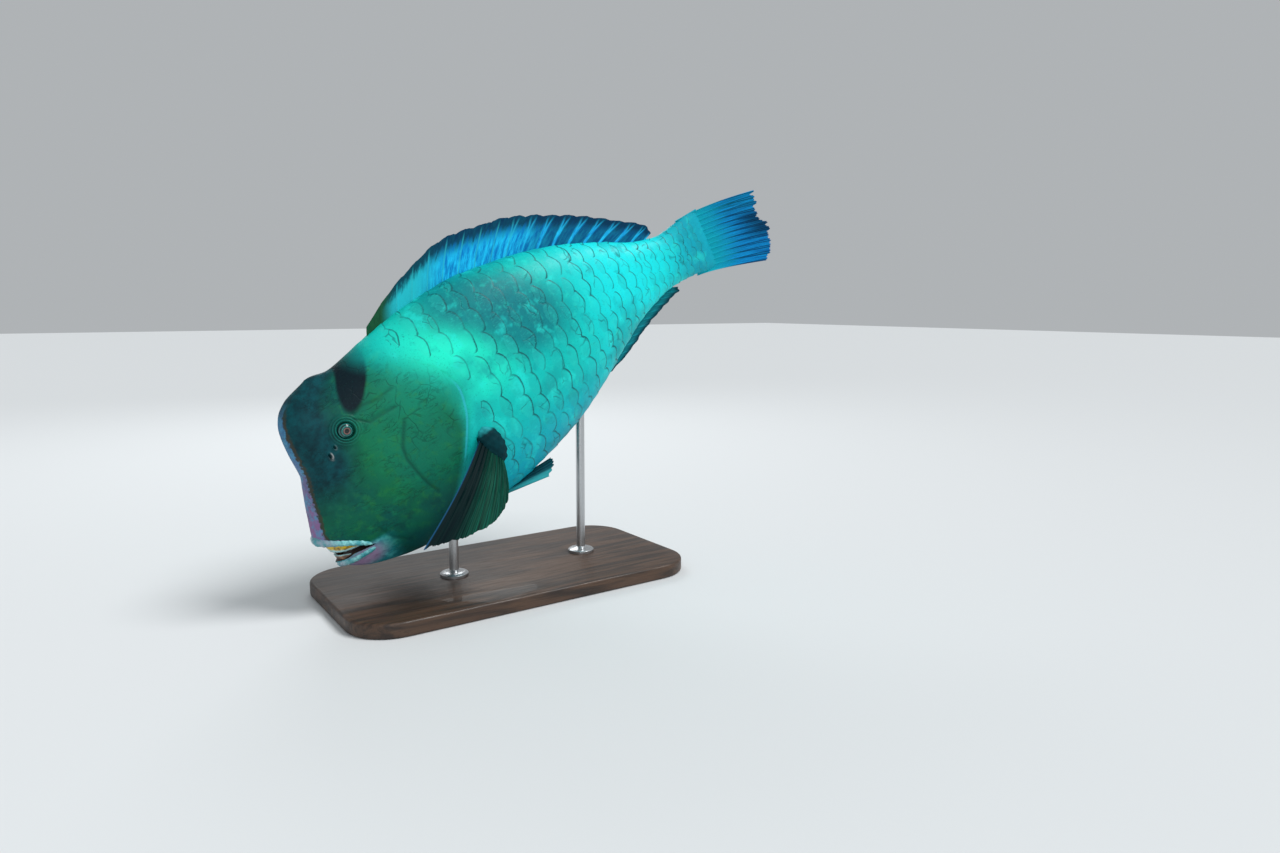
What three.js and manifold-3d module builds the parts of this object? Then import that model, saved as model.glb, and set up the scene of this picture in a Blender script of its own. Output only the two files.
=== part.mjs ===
// A green humphead parrotfish, life size, nosing down as if to bite, held over a flat base by two short rods.
// Millimetres, +Z up. The origin is the middle of the base's underside.
// The fish is drawn in its own frame and then tipped nose down: x runs back from the upper lip along the
// fish's long axis, y points out of its right side, z out of its back.

import * as THREE from "three";
import { mergeVertices } from "three/addons/utils/BufferGeometryUtils.js";
import Module from "manifold-3d";

const wasm = await Module();
wasm.setup();

// Driving dimensions
const BODY_LENGTH = 880; // upper lip to the last scales of the tail base
const NOSE_DOWN = THREE.MathUtils.degToRad(29.6);
const JOINT_GAP = 0.3; // kept between pieces that touch
const SLIVER = 0.02; // edges shorter than this are merged away after cutting
const TAIL_SWING = { start: 620, at: BODY_LENGTH, offset: -22 }; // the tail is swung to the fish's left
const RINGS_ROUND = 32; // points round one section of the body
const FISH_BALANCE_X = 352; // how far behind the lip, in the base's plane, the weight sits
const LIP_HEIGHT = 170; // height of the long axis at the lip over the floor

// Outlines of the body, each point [distance behind the lip, height over the long axis or half width]
const BACK = [
  [60, 150], [95, 161], [128, 163], [160, 157], [200, 163], [250, 174], [320, 182], [390, 184], [460, 175],
  [540, 159], [620, 133], [700, 97], [765, 65], [820, 52], [BODY_LENGTH, 60], [905, 61],
];
const BELLY = [
  [0, -96], [28, -128], [71, -153], [139, -174], [230, -184], [330, -183], [406, -174], [486, -158],
  [566, -130], [640, -97], [720, -66], [800, -51], [850, -54], [BODY_LENGTH, -60], [905, -61],
];
const WIDEST = [[0, -20], [60, 0], [150, -8], [260, -18], [420, -5], [600, 4], [760, 0], [905, 0]];
const HALF_WIDTH = [
  [0, 0], [3, 13], [10, 24], [24, 35], [50, 45], [95, 55], [160, 66], [240, 78], [320, 86], [390, 86],
  [470, 79], [560, 65], [650, 48], [740, 34], [820, 25], [865, 17], [890, 10], [905, 0],
];
// The face as [height, distance behind the lip]: lower jaw, lips, snout, then the hump
const FACE = [
  [-175, 60], [-150, 44], [-136, 26], [-120, 13], [-100, 6], [-80, 2], [-58, 0], [-20, 12], [20, 29],
  [42, 38], [80, 42], [115, 49], [135, 60], [150, 80], [163, 122], [185, 150],
];
const FACE_FADE = 250; // how far back the slant of the face is still felt in the sections
// Rear edge of the gill cover as [height, distance behind the lip]
const GILL_EDGE = [
  [-200, 128], [-172, 150], [-130, 196], [-80, 238], [-35, 268], [10, 292], [45, 300], [80, 290],
  [115, 262], [145, 232], [200, 205],
];
const GILL_COVER_LIFT = 4; // how far the cover's rear edge stands proud of the flank
const TAIL_STALK_START = 655;

// Mouth: the corner, and the edges of the opening at the front of each jaw
const MOUTH = { cornerX: 70, cornerZ: -106, upperZ: -60, lowerX: 12, lowerZ: -105, reach: 60 };
const LIP_RADIUS = 7;

const EYE = { x: 124, z: 76, radius: 13, rim: 4.5 };
const NOSTRILS = [{ x: 88, z: 56, radius: 3.2 }, { x: 98, z: 63, radius: 2.4 }];

// lean is how far a ray goes back for each millimetre that it rises: at the fin's front, then what is added
// towards its rear.
const DORSAL = { start: 240, end: 788, spines: 9, softRays: 10, lean: [0.5, 0.5, 1.2] };
const DORSAL_HEIGHT = [
  [0, 10], [0.06, 26], [0.15, 46], [0.28, 62], [0.42, 62], [0.6, 50], [0.8, 40], [0.94, 30], [1, 12],
];
const ANAL = { start: 590, end: 798, spines: 3, softRays: 9, lean: [2.1, 0, 0] };
const ANAL_HEIGHT = [[0, 6], [0.2, 15], [0.6, 17], [0.9, 14], [1, 6]];
const CAUDAL = { rays: 13, rootX: 868, rootHalf: 58, spread: 66, length: 162, droop: 30 };
const PECTORAL = { rays: 13, rootX: 306, rootTop: -40, rootBottom: -97 };
const PELVIC = { rays: 6, rootX: 268, rootLength: 34, length: 118, side: 17 };

const BASE = { length: 620, width: 330, height: 24, corner: 70, bevel: 4 };
const RODS = [{ name: "stand_rod_front", x: -95 }, { name: "stand_rod_rear", x: 160 }];
const ROD = { radius: 8, footRadius: 24, footHeight: 7 };

// Small mathematics

// A smooth function through [input, value] pairs that doesn't overshoot between them.
function smoothThrough(pairs) {
  const slopes = pairs.map((p, i) => {
    if (i === 0 || i === pairs.length - 1) {
      const [a, b] = i === 0 ? [pairs[0], pairs[1]] : [pairs[i - 1], p];
      return (b[1] - a[1]) / (b[0] - a[0]);
    }
    const before = (p[1] - pairs[i - 1][1]) / (p[0] - pairs[i - 1][0]);
    const after = (pairs[i + 1][1] - p[1]) / (pairs[i + 1][0] - p[0]);
    return before * after <= 0 ? 0 : (2 * before * after) / (before + after);
  });
  return (input) => {
    const first = pairs[0];
    const last = pairs[pairs.length - 1];
    if (input <= first[0]) return first[1];
    if (input >= last[0]) return last[1];
    const i = pairs.findIndex((p) => p[0] > input) - 1;
    const [a, b] = [pairs[i], pairs[i + 1]];
    const span = b[0] - a[0];
    const t = (input - a[0]) / span;
    const rise = b[1] - a[1];
    return (
      a[1] +
      t * t * (3 - 2 * t) * rise +
      t * (1 - t) * (1 - t) * slopes[i] * span -
      t * t * (1 - t) * slopes[i + 1] * span
    );
  };
}

const ramp = (from, to, value) => THREE.MathUtils.smoothstep(value, from, to);
const mix = THREE.MathUtils.lerp;

const backZ = smoothThrough(BACK);
const bellyZ = smoothThrough(BELLY);
const widestZ = smoothThrough(WIDEST);
const halfWidth = smoothThrough(HALF_WIDTH);
const faceX = smoothThrough(FACE);
const gillEdgeX = smoothThrough(GILL_EDGE);

// How far the swung tail stands off the fish's middle plane.
function tailSwing(x) {
  const t = Math.max(0, (x - TAIL_SWING.start) / (TAIL_SWING.at - TAIL_SWING.start));
  return TAIL_SWING.offset * t ** 3;
}

// The body's skin

const faceShare = (station) => Math.max(0, 1 - station / FACE_FADE) ** 1.3;
const slanted = (station, z) => station + faceShare(station) * faceX(z);

// Top and bottom of the section at a station, which is slanted near the face.
function sectionEnds(station) {
  let top = backZ(slanted(station, 160));
  let bottom = bellyZ(slanted(station, -110));
  for (let i = 0; i < 6; i++) {
    top = backZ(slanted(station, top));
    bottom = bellyZ(slanted(station, bottom));
  }
  return { top, bottom };
}

// How far the gill cover lifts off the plain skin at a point on its side.
function gillLift(x, z) {
  const edge = gillEdgeX(z);
  return GILL_COVER_LIFT * ramp(edge - 85, edge, x) * ramp(-178, -130, z) * ramp(128, 70, z);
}

// A point of the skin: the section at a station, an angle round it from the right side up, and extra
// thickness.
function skinPoint(station, angle, lift = 0, coverLift = false) {
  const { top, bottom } = sectionEnds(station);
  const middle = mix(widestZ(station), (top + bottom) / 2, 0.35);
  const up = Math.sin(angle);
  const side = Math.cos(angle);
  const z = middle + (up > 0 ? top - middle + lift : middle - bottom + lift) * up;
  const x = slanted(station, z);
  const round = Math.sign(side) * Math.abs(side) ** 0.92;
  const cover = coverLift ? gillLift(x, z) : 0;
  const wide = halfWidth(station);
  const y = wide > 0 ? round * (wide + lift + cover) : 0;
  return new THREE.Vector3(x, y + tailSwing(x), z);
}

// Half width of the plain skin where it passes a height z at a distance x behind the lip.
function flankY(x, z) {
  let low = 0;
  let high = x + 1;
  for (let i = 0; i < 30; i++) {
    const tried = (low + high) / 2;
    if (slanted(tried, z) < x) low = tried;
    else high = tried;
  }
  const { top, bottom } = sectionEnds(low);
  const middle = mix(widestZ(low), (top + bottom) / 2, 0.35);
  const up = z > middle ? (z - middle) / (top - middle) : (middle - z) / (middle - bottom);
  return halfWidth(low) * Math.sqrt(1 - Math.min(1, up) ** 2) ** 0.92;
}

// Meshes and solids

// A closed solid from a geometry, turned right side out if its faces point inwards.
function solidFrom(geometry) {
  const bare = new THREE.BufferGeometry();
  bare.setAttribute("position", geometry.getAttribute("position"));
  if (geometry.index) bare.setIndex(geometry.index);
  const merged = mergeVertices(bare, 1e-4);
  const kept = [];
  const index = merged.index.array;
  for (let i = 0; i < index.length; i += 3) {
    const [a, b, c] = [index[i], index[i + 1], index[i + 2]];
    if (a !== b && b !== c && c !== a) kept.push(a, b, c);
  }
  const vertProperties = new Float32Array(merged.attributes.position.array);
  const made = (triVerts) => new wasm.Manifold(new wasm.Mesh({ numProp: 3, vertProperties, triVerts }));
  const solid = made(new Uint32Array(kept));
  return solid.volume() > 0 ? solid : made(new Uint32Array(kept).reverse());
}

// The largest closed surface of a solid as a geometry, with the slivers of its cuts smoothed away.
function geometryFrom(solid) {
  const pieces = solid.simplify(SLIVER).decompose();
  const largest = pieces.reduce((a, b) => (a.volume() > b.volume() ? a : b));
  const mesh = largest.getMesh();
  const geometry = new THREE.BufferGeometry();
  geometry.setAttribute("position", new THREE.BufferAttribute(new Float32Array(mesh.vertProperties), 3));
  geometry.setIndex(new THREE.BufferAttribute(new Uint32Array(mesh.triVerts), 1));
  return geometry;
}

// A closed tube of rings, each a list of points; the two end rings are closed by collapsing to lines or caps.
function loft(rings) {
  const round = rings[0].length;
  const positions = rings.flat().flatMap((p) => [p.x, p.y, p.z]);
  const index = [];
  for (let i = 0; i < rings.length - 1; i++) {
    for (let j = 0; j < round; j++) {
      const [a, b] = [i * round + j, i * round + ((j + 1) % round)];
      const [c, d] = [a + round, b + round];
      index.push(a, b, c, b, d, c);
    }
  }
  const geometry = new THREE.BufferGeometry();
  geometry.setAttribute("position", new THREE.Float32BufferAttribute(positions, 3));
  geometry.setIndex(index);
  return solidFrom(geometry);
}

// The whole fish without fins, as one solid, fattened by lift.
function bodySolid(lift = 0, coverLift = false) {
  const stations = [0, 3, 8, 15, 26, 42, 62, 85, 110, 138, 166];
  for (let x = 192; x < 300; x += 27) stations.push(x);
  for (let x = 316; x < 860; x += 42) stations.push(x);
  stations.push(862, 878, 890, 899, 905);
  const rings = stations.map((station) => {
    const ring = [];
    for (let j = 0; j < RINGS_ROUND; j++) {
      ring.push(skinPoint(station, (j / RINGS_ROUND) * Math.PI * 2, lift, coverLift));
    }
    return ring;
  });
  return loft(rings);
}

// A slab across the fish whose outline in the middle plane is given as [x, z] points.
function slab(outline) {
  const reach = 200;
  const shape = new THREE.Shape(outline.map(([x, z]) => new THREE.Vector2(x, z)));
  const geometry = new THREE.ExtrudeGeometry(shape, { depth: 2 * reach, bevelEnabled: false });
  geometry.rotateX(Math.PI / 2);
  geometry.translate(0, reach, 0);
  return solidFrom(geometry);
}

// A tube of round section along points.
function tube(points, radius, steps) {
  const path = new THREE.CatmullRomCurve3(points);
  const sides = 8;
  const shape = new THREE.Shape();
  for (let i = 0; i < sides; i++) {
    const angle = (i / sides) * Math.PI * 2;
    const method = i === 0 ? "moveTo" : "lineTo";
    shape[method](radius * Math.cos(angle), radius * Math.sin(angle));
  }
  return solidFrom(new THREE.ExtrudeGeometry(shape, { steps, extrudePath: path, bevelEnabled: false }));
}

function ellipsoid(radii, centre, turn = new THREE.Euler(), fine = 16) {
  const geometry = new THREE.SphereGeometry(1, fine, Math.round(fine * 0.7));
  geometry.scale(...radii);
  geometry.rotateX(turn.x);
  geometry.rotateY(turn.y);
  geometry.rotateZ(turn.z);
  geometry.translate(...centre);
  return solidFrom(geometry);
}

// A closed plate between two like grids of points, each given column by column.
function plateSolid(front, back, columns, perColumn) {
  const count = columns * perColumn;
  const positions = [...front, ...back].flatMap((p) => [p.x, p.y, p.z]);
  const index = [];
  const wall = (a, b) => index.push(a, b, a + count, b, b + count, a + count);
  for (let i = 0; i < columns - 1; i++) {
    for (let k = 0; k < perColumn - 1; k++) {
      const a = i * perColumn + k;
      const [b, c, d] = [a + 1, a + perColumn, a + perColumn + 1];
      index.push(a, c, b, b, c, d);
      index.push(a + count, b + count, c + count, b + count, d + count, c + count);
    }
    wall((i + 1) * perColumn, i * perColumn);
    wall((i + 1) * perColumn - 1, (i + 2) * perColumn - 1);
  }
  for (let k = 0; k < perColumn - 1; k++) {
    wall(k, k + 1);
    wall((columns - 1) * perColumn + k + 1, (columns - 1) * perColumn + k);
  }
  const geometry = new THREE.BufferGeometry();
  geometry.setAttribute("position", new THREE.Float32BufferAttribute(positions, 3));
  geometry.setIndex(index);
  return solidFrom(geometry);
}

// A fin: columns run along the rays, three to a ray, and rows from the root to the margin.
// pointAt(across, along) gives its middle surface, and each ray is a ridge on both faces of the membrane.
function finSolid({ rays, rows, pointAt, membrane, ridge, rayShare = 0.2, thinning = 0.6, scallop = 0 }) {
  const columns = [];
  for (let r = 0; r < rays; r++) {
    const centre = r / (rays - 1);
    const half = rayShare / (rays - 1);
    if (r > 0) columns.push({ across: centre - half, high: 0, inset: 1 });
    columns.push({ across: centre, high: 1, inset: 0 });
    if (r < rays - 1) columns.push({ across: centre + half, high: 0, inset: 1 });
  }
  const small = 1e-3;
  const faces = [[], []];
  for (const column of columns) {
    for (let k = 0; k <= rows; k++) {
      const along = (k / rows) * (1 - scallop * column.inset * ramp(0.6, 1, k / rows));
      const at = pointAt(column.across, along);
      const acrossStep = pointAt(Math.min(1, column.across + small), along);
      const acrossBack = pointAt(Math.max(0, column.across - small), along);
      const alongStep = pointAt(column.across, along + small);
      const tangent = acrossStep.sub(acrossBack);
      const normal = alongStep.sub(at).cross(tangent).normalize();
      const taper = 1 - thinning * along;
      const half = (membrane * taper + column.high * ridge * (1 - 0.85 * along)) / 2;
      faces[0].push(at.clone().addScaledVector(normal, half));
      faces[1].push(at.clone().addScaledVector(normal, -half));
    }
  }
  return plateSolid(faces[0], faces[1], columns.length, rows + 1);
}

// Fins

const ROOT_DEPTH = 16; // how far a fin is drawn below the skin before the body is cut out of it

// Dorsal and anal fins stand on the edge of the body and lean back.
function edgeFin({ start, end, spines, softRays, lean }, heights, edgeZ, side) {
  const height = smoothThrough(heights);
  const pointAt = (across, along) => {
    const rootX = mix(start, end, across);
    const out = height(across) * along - ROOT_DEPTH * (1 - along);
    const x = rootX + (lean[0] + lean[1] * across + lean[2] * across ** 3) * out;
    return new THREE.Vector3(x, tailSwing(x), edgeZ(rootX) + side * out + (edgeZ(x) - edgeZ(rootX)) * 0.6);
  };
  return finSolid({
    rays: spines + softRays,
    rows: 4,
    pointAt,
    membrane: 2.4,
    ridge: 3.6,
    scallop: 0.1,
  });
}

// The tail fin spreads a little, and its hind edge is cut nearly straight, with worn tips.
function caudalSolid() {
  const { rays, rootX, rootHalf, spread, length, droop } = CAUDAL;
  const wear = smoothThrough([
    [0, 1], [0.1, 0.97], [0.25, 0.9], [0.4, 0.93], [0.55, 0.97], [0.75, 0.95], [0.9, 0.95], [1, 0.86],
  ]);
  const pointAt = (across, along) => {
    const lift = 2 * across - 1;
    const reach = length * wear(1 - across) * along;
    const fan = mix(rootHalf, spread, Math.sin((along * Math.PI) / 2)) + 4 * along * along;
    const x = rootX - 10 * lift * lift + reach;
    return new THREE.Vector3(x, tailSwing(x), lift * fan - droop * along ** 1.4);
  };
  return finSolid({ rays, rows: 6, pointAt, membrane: 2.6, ridge: 4.4, scallop: 0.07 });
}

// Pectoral fin of the left side, swept forward and down at the end of its stroke.
function pectoralPoint(across, along) {
  const tips = [
    [98, -172, -104], [126, -178, -114], [150, -180, -123], [172, -179, -131], [208, -172, -139],
    [236, -160, -138], [256, -148, -132], [272, -134, -120],
  ].map((p) => new THREE.Vector3(...p));
  const tip = new THREE.CatmullRomCurve3(tips).getPoint(across);
  const rootZ = mix(PECTORAL.rootTop, PECTORAL.rootBottom, across);
  const rootX = PECTORAL.rootX + 10 * Math.sin(across * Math.PI);
  const root = new THREE.Vector3(rootX, -flankY(rootX, rootZ) + 14, rootZ);
  const point = root.clone().lerp(tip, along);
  const bulge = Math.sin(along * Math.PI) * mix(16, 8, across);
  return point.add(new THREE.Vector3(0.35, -0.8, 0.1).multiplyScalar(bulge));
}

function pectoralSolid() {
  return finSolid({
    rays: PECTORAL.rays,
    rows: 6,
    pointAt: pectoralPoint,
    membrane: 2.6,
    ridge: 3.8,
    scallop: 0.04,
  });
}

// The fleshy lobe that carries the pectoral rays.
function pectoralLobe() {
  const middleZ = (PECTORAL.rootTop + PECTORAL.rootBottom) / 2;
  const y = -flankY(PECTORAL.rootX, middleZ);
  return ellipsoid([17, 15, 33], [PECTORAL.rootX - 3, y - 2, middleZ], new THREE.Euler(0.1, 0.12, 0), 14);
}

// Pelvic fin of the left side, half folded along the belly.
function pelvicPoint(across, along) {
  const rootX = PELVIC.rootX + PELVIC.rootLength * (1 - across);
  const root = new THREE.Vector3(rootX, -PELVIC.side - 6 * across, bellyZ(rootX) + 12);
  const length = PELVIC.length * mix(0.78, 1, Math.sin(across * Math.PI * 0.6 + 0.5));
  const tipX = rootX + length;
  const tip = new THREE.Vector3(tipX, -mix(12, 36, across), bellyZ(tipX) - mix(8, 20, across));
  return root.lerp(tip, along);
}

function pelvicSolid() {
  return finSolid({
    rays: PELVIC.rays,
    rows: 4,
    pointAt: pelvicPoint,
    membrane: 2.4,
    ridge: 3.4,
    scallop: 0.05,
  });
}

// Head parts

// The mouth's opening and the lower jaw's outline, both as [x, z] outlines in the middle plane.
function upperLipLine(share) {
  const forward = Math.min(1, share * 1.85);
  const z = mix(MOUTH.cornerZ, MOUTH.upperZ, forward) + 4 * Math.sin(forward * Math.PI);
  return [mix(MOUTH.cornerX, -MOUTH.reach, share), z];
}
function mouthOutline() {
  const upper = [0, 0.1, 0.2, 0.3, 0.4, 0.54, 1].map(upperLipLine);
  return [
    ...upper,
    [-MOUTH.reach, MOUTH.lowerZ + 2],
    [MOUTH.lowerX, MOUTH.lowerZ],
    [MOUTH.lowerX + 24, MOUTH.lowerZ + 4],
  ];
}
function jawOutline(gap) {
  return [
    [MOUTH.cornerX + gap, MOUTH.cornerZ + gap],
    [92 + gap, -124],
    [108 + gap, -148],
    [116 + gap, -200],
    [-MOUTH.reach, -200],
    [-MOUTH.reach, MOUTH.lowerZ + 2],
    [MOUTH.lowerX, MOUTH.lowerZ],
    [MOUTH.lowerX + 24, MOUTH.lowerZ + 4],
  ];
}

// Everything behind the gill cover's rear edge.
function behindGillOutline(gap) {
  const edge = [];
  for (let z = 200; z >= -200; z -= 16) edge.push([gillEdgeX(z) + gap, z]);
  return [...edge, [BODY_LENGTH + 120, -200], [BODY_LENGTH + 120, 200]];
}

// A lip as a soft roll round the front of the mouth, from one corner to the other.
function lip(line, radius, share = 0.5) {
  const points = [];
  const steps = 7;
  for (let i = -steps; i <= steps; i++) {
    const [x, z] = line(Math.abs(i) / steps);
    const half = flankY(Math.max(x, slanted(0, z) + 0.4), z);
    points.push(new THREE.Vector3(x, -Math.sign(i) * Math.max(0, half - radius * share), z));
  }
  return tube(points, radius, 3 * steps);
}
const upperLip = () =>
  lip((side) => {
    const z = mix(MOUTH.upperZ + 3, MOUTH.cornerZ + 5, side);
    return [mix(slanted(0, z) + 5, MOUTH.cornerX - 2, side ** 1.15), z + 5 * Math.sin(side * Math.PI)];
  }, LIP_RADIUS);
const lowerLip = () =>
  lip((side) => {
    const z = mix(MOUTH.lowerZ - 6, MOUTH.cornerZ - 4, side);
    return [mix(MOUTH.lowerX + 3, MOUTH.cornerX - 2, side ** 1.15), z];
  }, LIP_RADIUS - 1);

// A beak is one fused plate of teeth, a curved shell with a groove down its middle.
// Its arms run back along the jaw, and armDrop lowers their ends. Grown a little, it is the room cut for it.
function beakSolid({ x, z, depth, halfAcross, back, armDrop, way, tipX }, grow = 0) {
  const rows = 4;
  const around = 12;
  const thickness = 7;
  const sweep = 1.25 + 0.05 * grow;
  const outer = [];
  const inner = [];
  for (let k = 0; k <= rows; k++) {
    const down = k / rows;
    for (let j = 0; j <= around; j++) {
      const turn = mix(-1, 1, j / around);
      const groove = Math.abs(turn) < 0.08 ? 1.2 : 0;
      const across = Math.sin(turn * sweep) * (1 - 0.12 * down);
      const set = back * (1 - Math.cos(turn * sweep)) + groove;
      const edge = depth * down * (1 - 0.55 * Math.abs(turn) ** 2.2) + grow * (2 * down - 1);
      const px = x + set + tipX * down;
      const pz = z - armDrop * Math.abs(turn) ** 1.5 + way * edge;
      const thin = thickness * (1 - 0.6 * down);
      outer.push(new THREE.Vector3(px - grow, across * (halfAcross + grow), pz));
      inner.push(new THREE.Vector3(px + thin + grow, across * (0.86 * halfAcross - grow), pz));
    }
  }
  return plateSolid(outer, inner, rows + 1, around + 1);
}

// Assembly

const fish = new THREE.Group();
fish.rotation.y = -NOSE_DOWN;
fish.position.set(-FISH_BALANCE_X, 0, LIP_HEIGHT);
fish.updateMatrixWorld(true);
const model = new THREE.Group();
model.add(fish);

function material(color, roughness = 0.5, metalness = 0) {
  return new THREE.MeshStandardMaterial({ color, roughness, metalness });
}
const finishes = {
  head: material(0x0e6b58),
  flank: material(0x1fae9c),
  fin: material(0x2a6fb0),
  darkFin: material(0x123c35),
  lip: material(0x6fb9b8),
  tooth: material(0xc9b65a, 0.35),
  eye: material(0x20605c, 0.15),
  wood: material(0x3b2a1e, 0.45),
  steel: material(0x9a9da0, 0.3, 1),
};

function addNode(parent, name, solid, finish) {
  const mesh = new THREE.Mesh(geometryFrom(solid), finish);
  mesh.name = name;
  parent.add(mesh);
}

const mirrored = (solid) => solid.mirror([0, 1, 0]);
const plainBody = bodySolid();
const coveredBody = bodySolid(0, true);
const bodyWithGap = bodySolid(JOINT_GAP);

// Head, with rims round the eyes, an upper lip, nostrils, and room for the jaw, the beak and the eyes
const eyeCentre = [EYE.x, -flankY(EYE.x, EYE.z) + 4, EYE.z];
function orbitRim() {
  const ring = new THREE.TorusGeometry(EYE.radius + 2, EYE.rim, 8, 18);
  const points = ring.getAttribute("position");
  for (let i = 0; i < points.count; i++) {
    const [x, z] = [EYE.x + points.getX(i), EYE.z + points.getY(i)];
    points.setXYZ(i, x, points.getZ(i) - flankY(x, z) + 1, z);
  }
  return solidFrom(ring);
}
const rim = orbitRim();
const ball = (radius) => ellipsoid([radius, radius, radius], eyeCentre, undefined, 16);
const socket = ball(EYE.radius + JOINT_GAP);
const upperBeakShape = { x: 6, z: -50, depth: 34, halfAcross: 30, back: 57, armDrop: 32, way: -1, tipX: 4 };
const lowerBeakShape = { x: 14, z: -114, depth: 20, halfAcross: 25, back: 40, armDrop: 0, way: 1, tipX: -2 };
const upperPocket = beakSolid(upperBeakShape, 2 * JOINT_GAP);
const lowerPocket = beakSolid(lowerBeakShape, 2 * JOINT_GAP);

let head = coveredBody.subtract(slab(behindGillOutline(0))).subtract(slab(mouthOutline()));
head = head.add(rim).add(mirrored(rim)).add(upperLip()).subtract(slab(jawOutline(JOINT_GAP)));
head = head.subtract(socket).subtract(mirrored(socket)).subtract(upperPocket).subtract(lowerPocket);
for (const { x, z, radius } of NOSTRILS) {
  const pit = ellipsoid([radius, 5, radius * 1.4], [x, -flankY(x, z), z], undefined, 8);
  head = head.subtract(pit).subtract(mirrored(pit));
}
addNode(fish, "head", head, finishes.head);

const lowerJaw = coveredBody.add(lowerLip()).intersect(slab(jawOutline(0))).subtract(lowerPocket);
addNode(fish, "lower_jaw", lowerJaw.subtract(upperPocket), finishes.lip);
addNode(fish, "upper_beak", beakSolid(upperBeakShape), finishes.tooth);
addNode(fish, "lower_beak", beakSolid(lowerBeakShape), finishes.tooth);
addNode(fish, "eye_left", ball(EYE.radius), finishes.eye);
addNode(fish, "eye_right", mirrored(ball(EYE.radius)), finishes.eye);

// Trunk and tail stalk
function stalkRegion(gap) {
  const [front, back] = [TAIL_STALK_START + gap, BODY_LENGTH + 120];
  return slab([[front, -200], [back, -200], [back, 200], [front, 200]]);
}
const trunk = plainBody.intersect(slab(behindGillOutline(JOINT_GAP))).subtract(stalkRegion(0));
addNode(fish, "trunk", trunk, finishes.flank);
addNode(fish, "tail_stalk", plainBody.intersect(stalkRegion(JOINT_GAP)), finishes.flank);

// Fins, each cut to the skin that it grows from
const onBody = (solid) => solid.subtract(bodyWithGap);
const pectoral = onBody(pectoralSolid().add(pectoralLobe()));
const pelvic = onBody(pelvicSolid());
addNode(fish, "dorsal_fin", onBody(edgeFin(DORSAL, DORSAL_HEIGHT, backZ, 1)), finishes.fin);
addNode(fish, "anal_fin", onBody(edgeFin(ANAL, ANAL_HEIGHT, bellyZ, -1)), finishes.fin);
addNode(fish, "caudal_fin", onBody(caudalSolid()), finishes.fin);
addNode(fish, "pectoral_fin_left", pectoral, finishes.darkFin);
addNode(fish, "pectoral_fin_right", mirrored(pectoral), finishes.darkFin);
addNode(fish, "pelvic_fin_left", pelvic, finishes.fin);
addNode(fish, "pelvic_fin_right", mirrored(pelvic), finishes.fin);

// Display stand: a flat base with eased edges, and two rods that end on the belly
function baseSolid() {
  const { length, width, height, corner, bevel } = BASE;
  const [x, y] = [length / 2 - bevel, width / 2 - bevel];
  const shape = new THREE.Shape();
  shape.moveTo(-x + corner, -y);
  shape.lineTo(x - corner, -y);
  shape.absarc(x - corner, -y + corner, corner, -Math.PI / 2, 0);
  shape.lineTo(x, y - corner);
  shape.absarc(x - corner, y - corner, corner, 0, Math.PI / 2);
  shape.lineTo(-x + corner, y);
  shape.absarc(-x + corner, y - corner, corner, Math.PI / 2, Math.PI);
  shape.lineTo(-x, -y + corner);
  shape.absarc(-x + corner, -y + corner, corner, Math.PI, 1.5 * Math.PI);
  const geometry = new THREE.ExtrudeGeometry(shape, {
    depth: height - 2 * bevel,
    curveSegments: 8,
    bevelSize: bevel,
    bevelThickness: bevel,
    bevelSegments: 1,
  });
  geometry.translate(0, 0, bevel);
  return solidFrom(geometry);
}
addNode(model, "stand_base", baseSolid(), finishes.wood);

// Height over the floor of the belly's keel above a place on the base.
function keelHeight(floorX) {
  const keel = new THREE.Vector3();
  for (let x = 0; x < BODY_LENGTH; x += 1) {
    keel.set(x, tailSwing(x), bellyZ(x)).applyMatrix4(fish.matrixWorld);
    if (keel.x >= floorX) break;
  }
  return keel.z;
}
const intoFish = fish.matrixWorld.clone().invert();
for (const { name, x } of RODS) {
  const foot = BASE.height + JOINT_GAP;
  const top = keelHeight(x) + 30;
  const profile = [
    [0, foot], [ROD.footRadius, foot], [ROD.footRadius, foot + ROD.footHeight * 0.6],
    [ROD.footRadius * 0.7, foot + ROD.footHeight], [ROD.radius, foot + ROD.footHeight + 3],
    [ROD.radius, top], [0, top],
  ].map(([radius, z]) => new THREE.Vector2(radius, z));
  const geometry = new THREE.LatheGeometry(profile, 16);
  geometry.rotateX(Math.PI / 2);
  geometry.translate(x, 0, 0);
  geometry.applyMatrix4(intoFish);
  addNode(fish, name, solidFrom(geometry).subtract(bodyWithGap), finishes.steel);
}

export default model;
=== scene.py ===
# A life-size green humphead parrotfish on a display stand, nosing down with its tail raised and swung.
import math
import bpy
import numpy as np
from mathutils import Matrix, Vector


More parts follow.
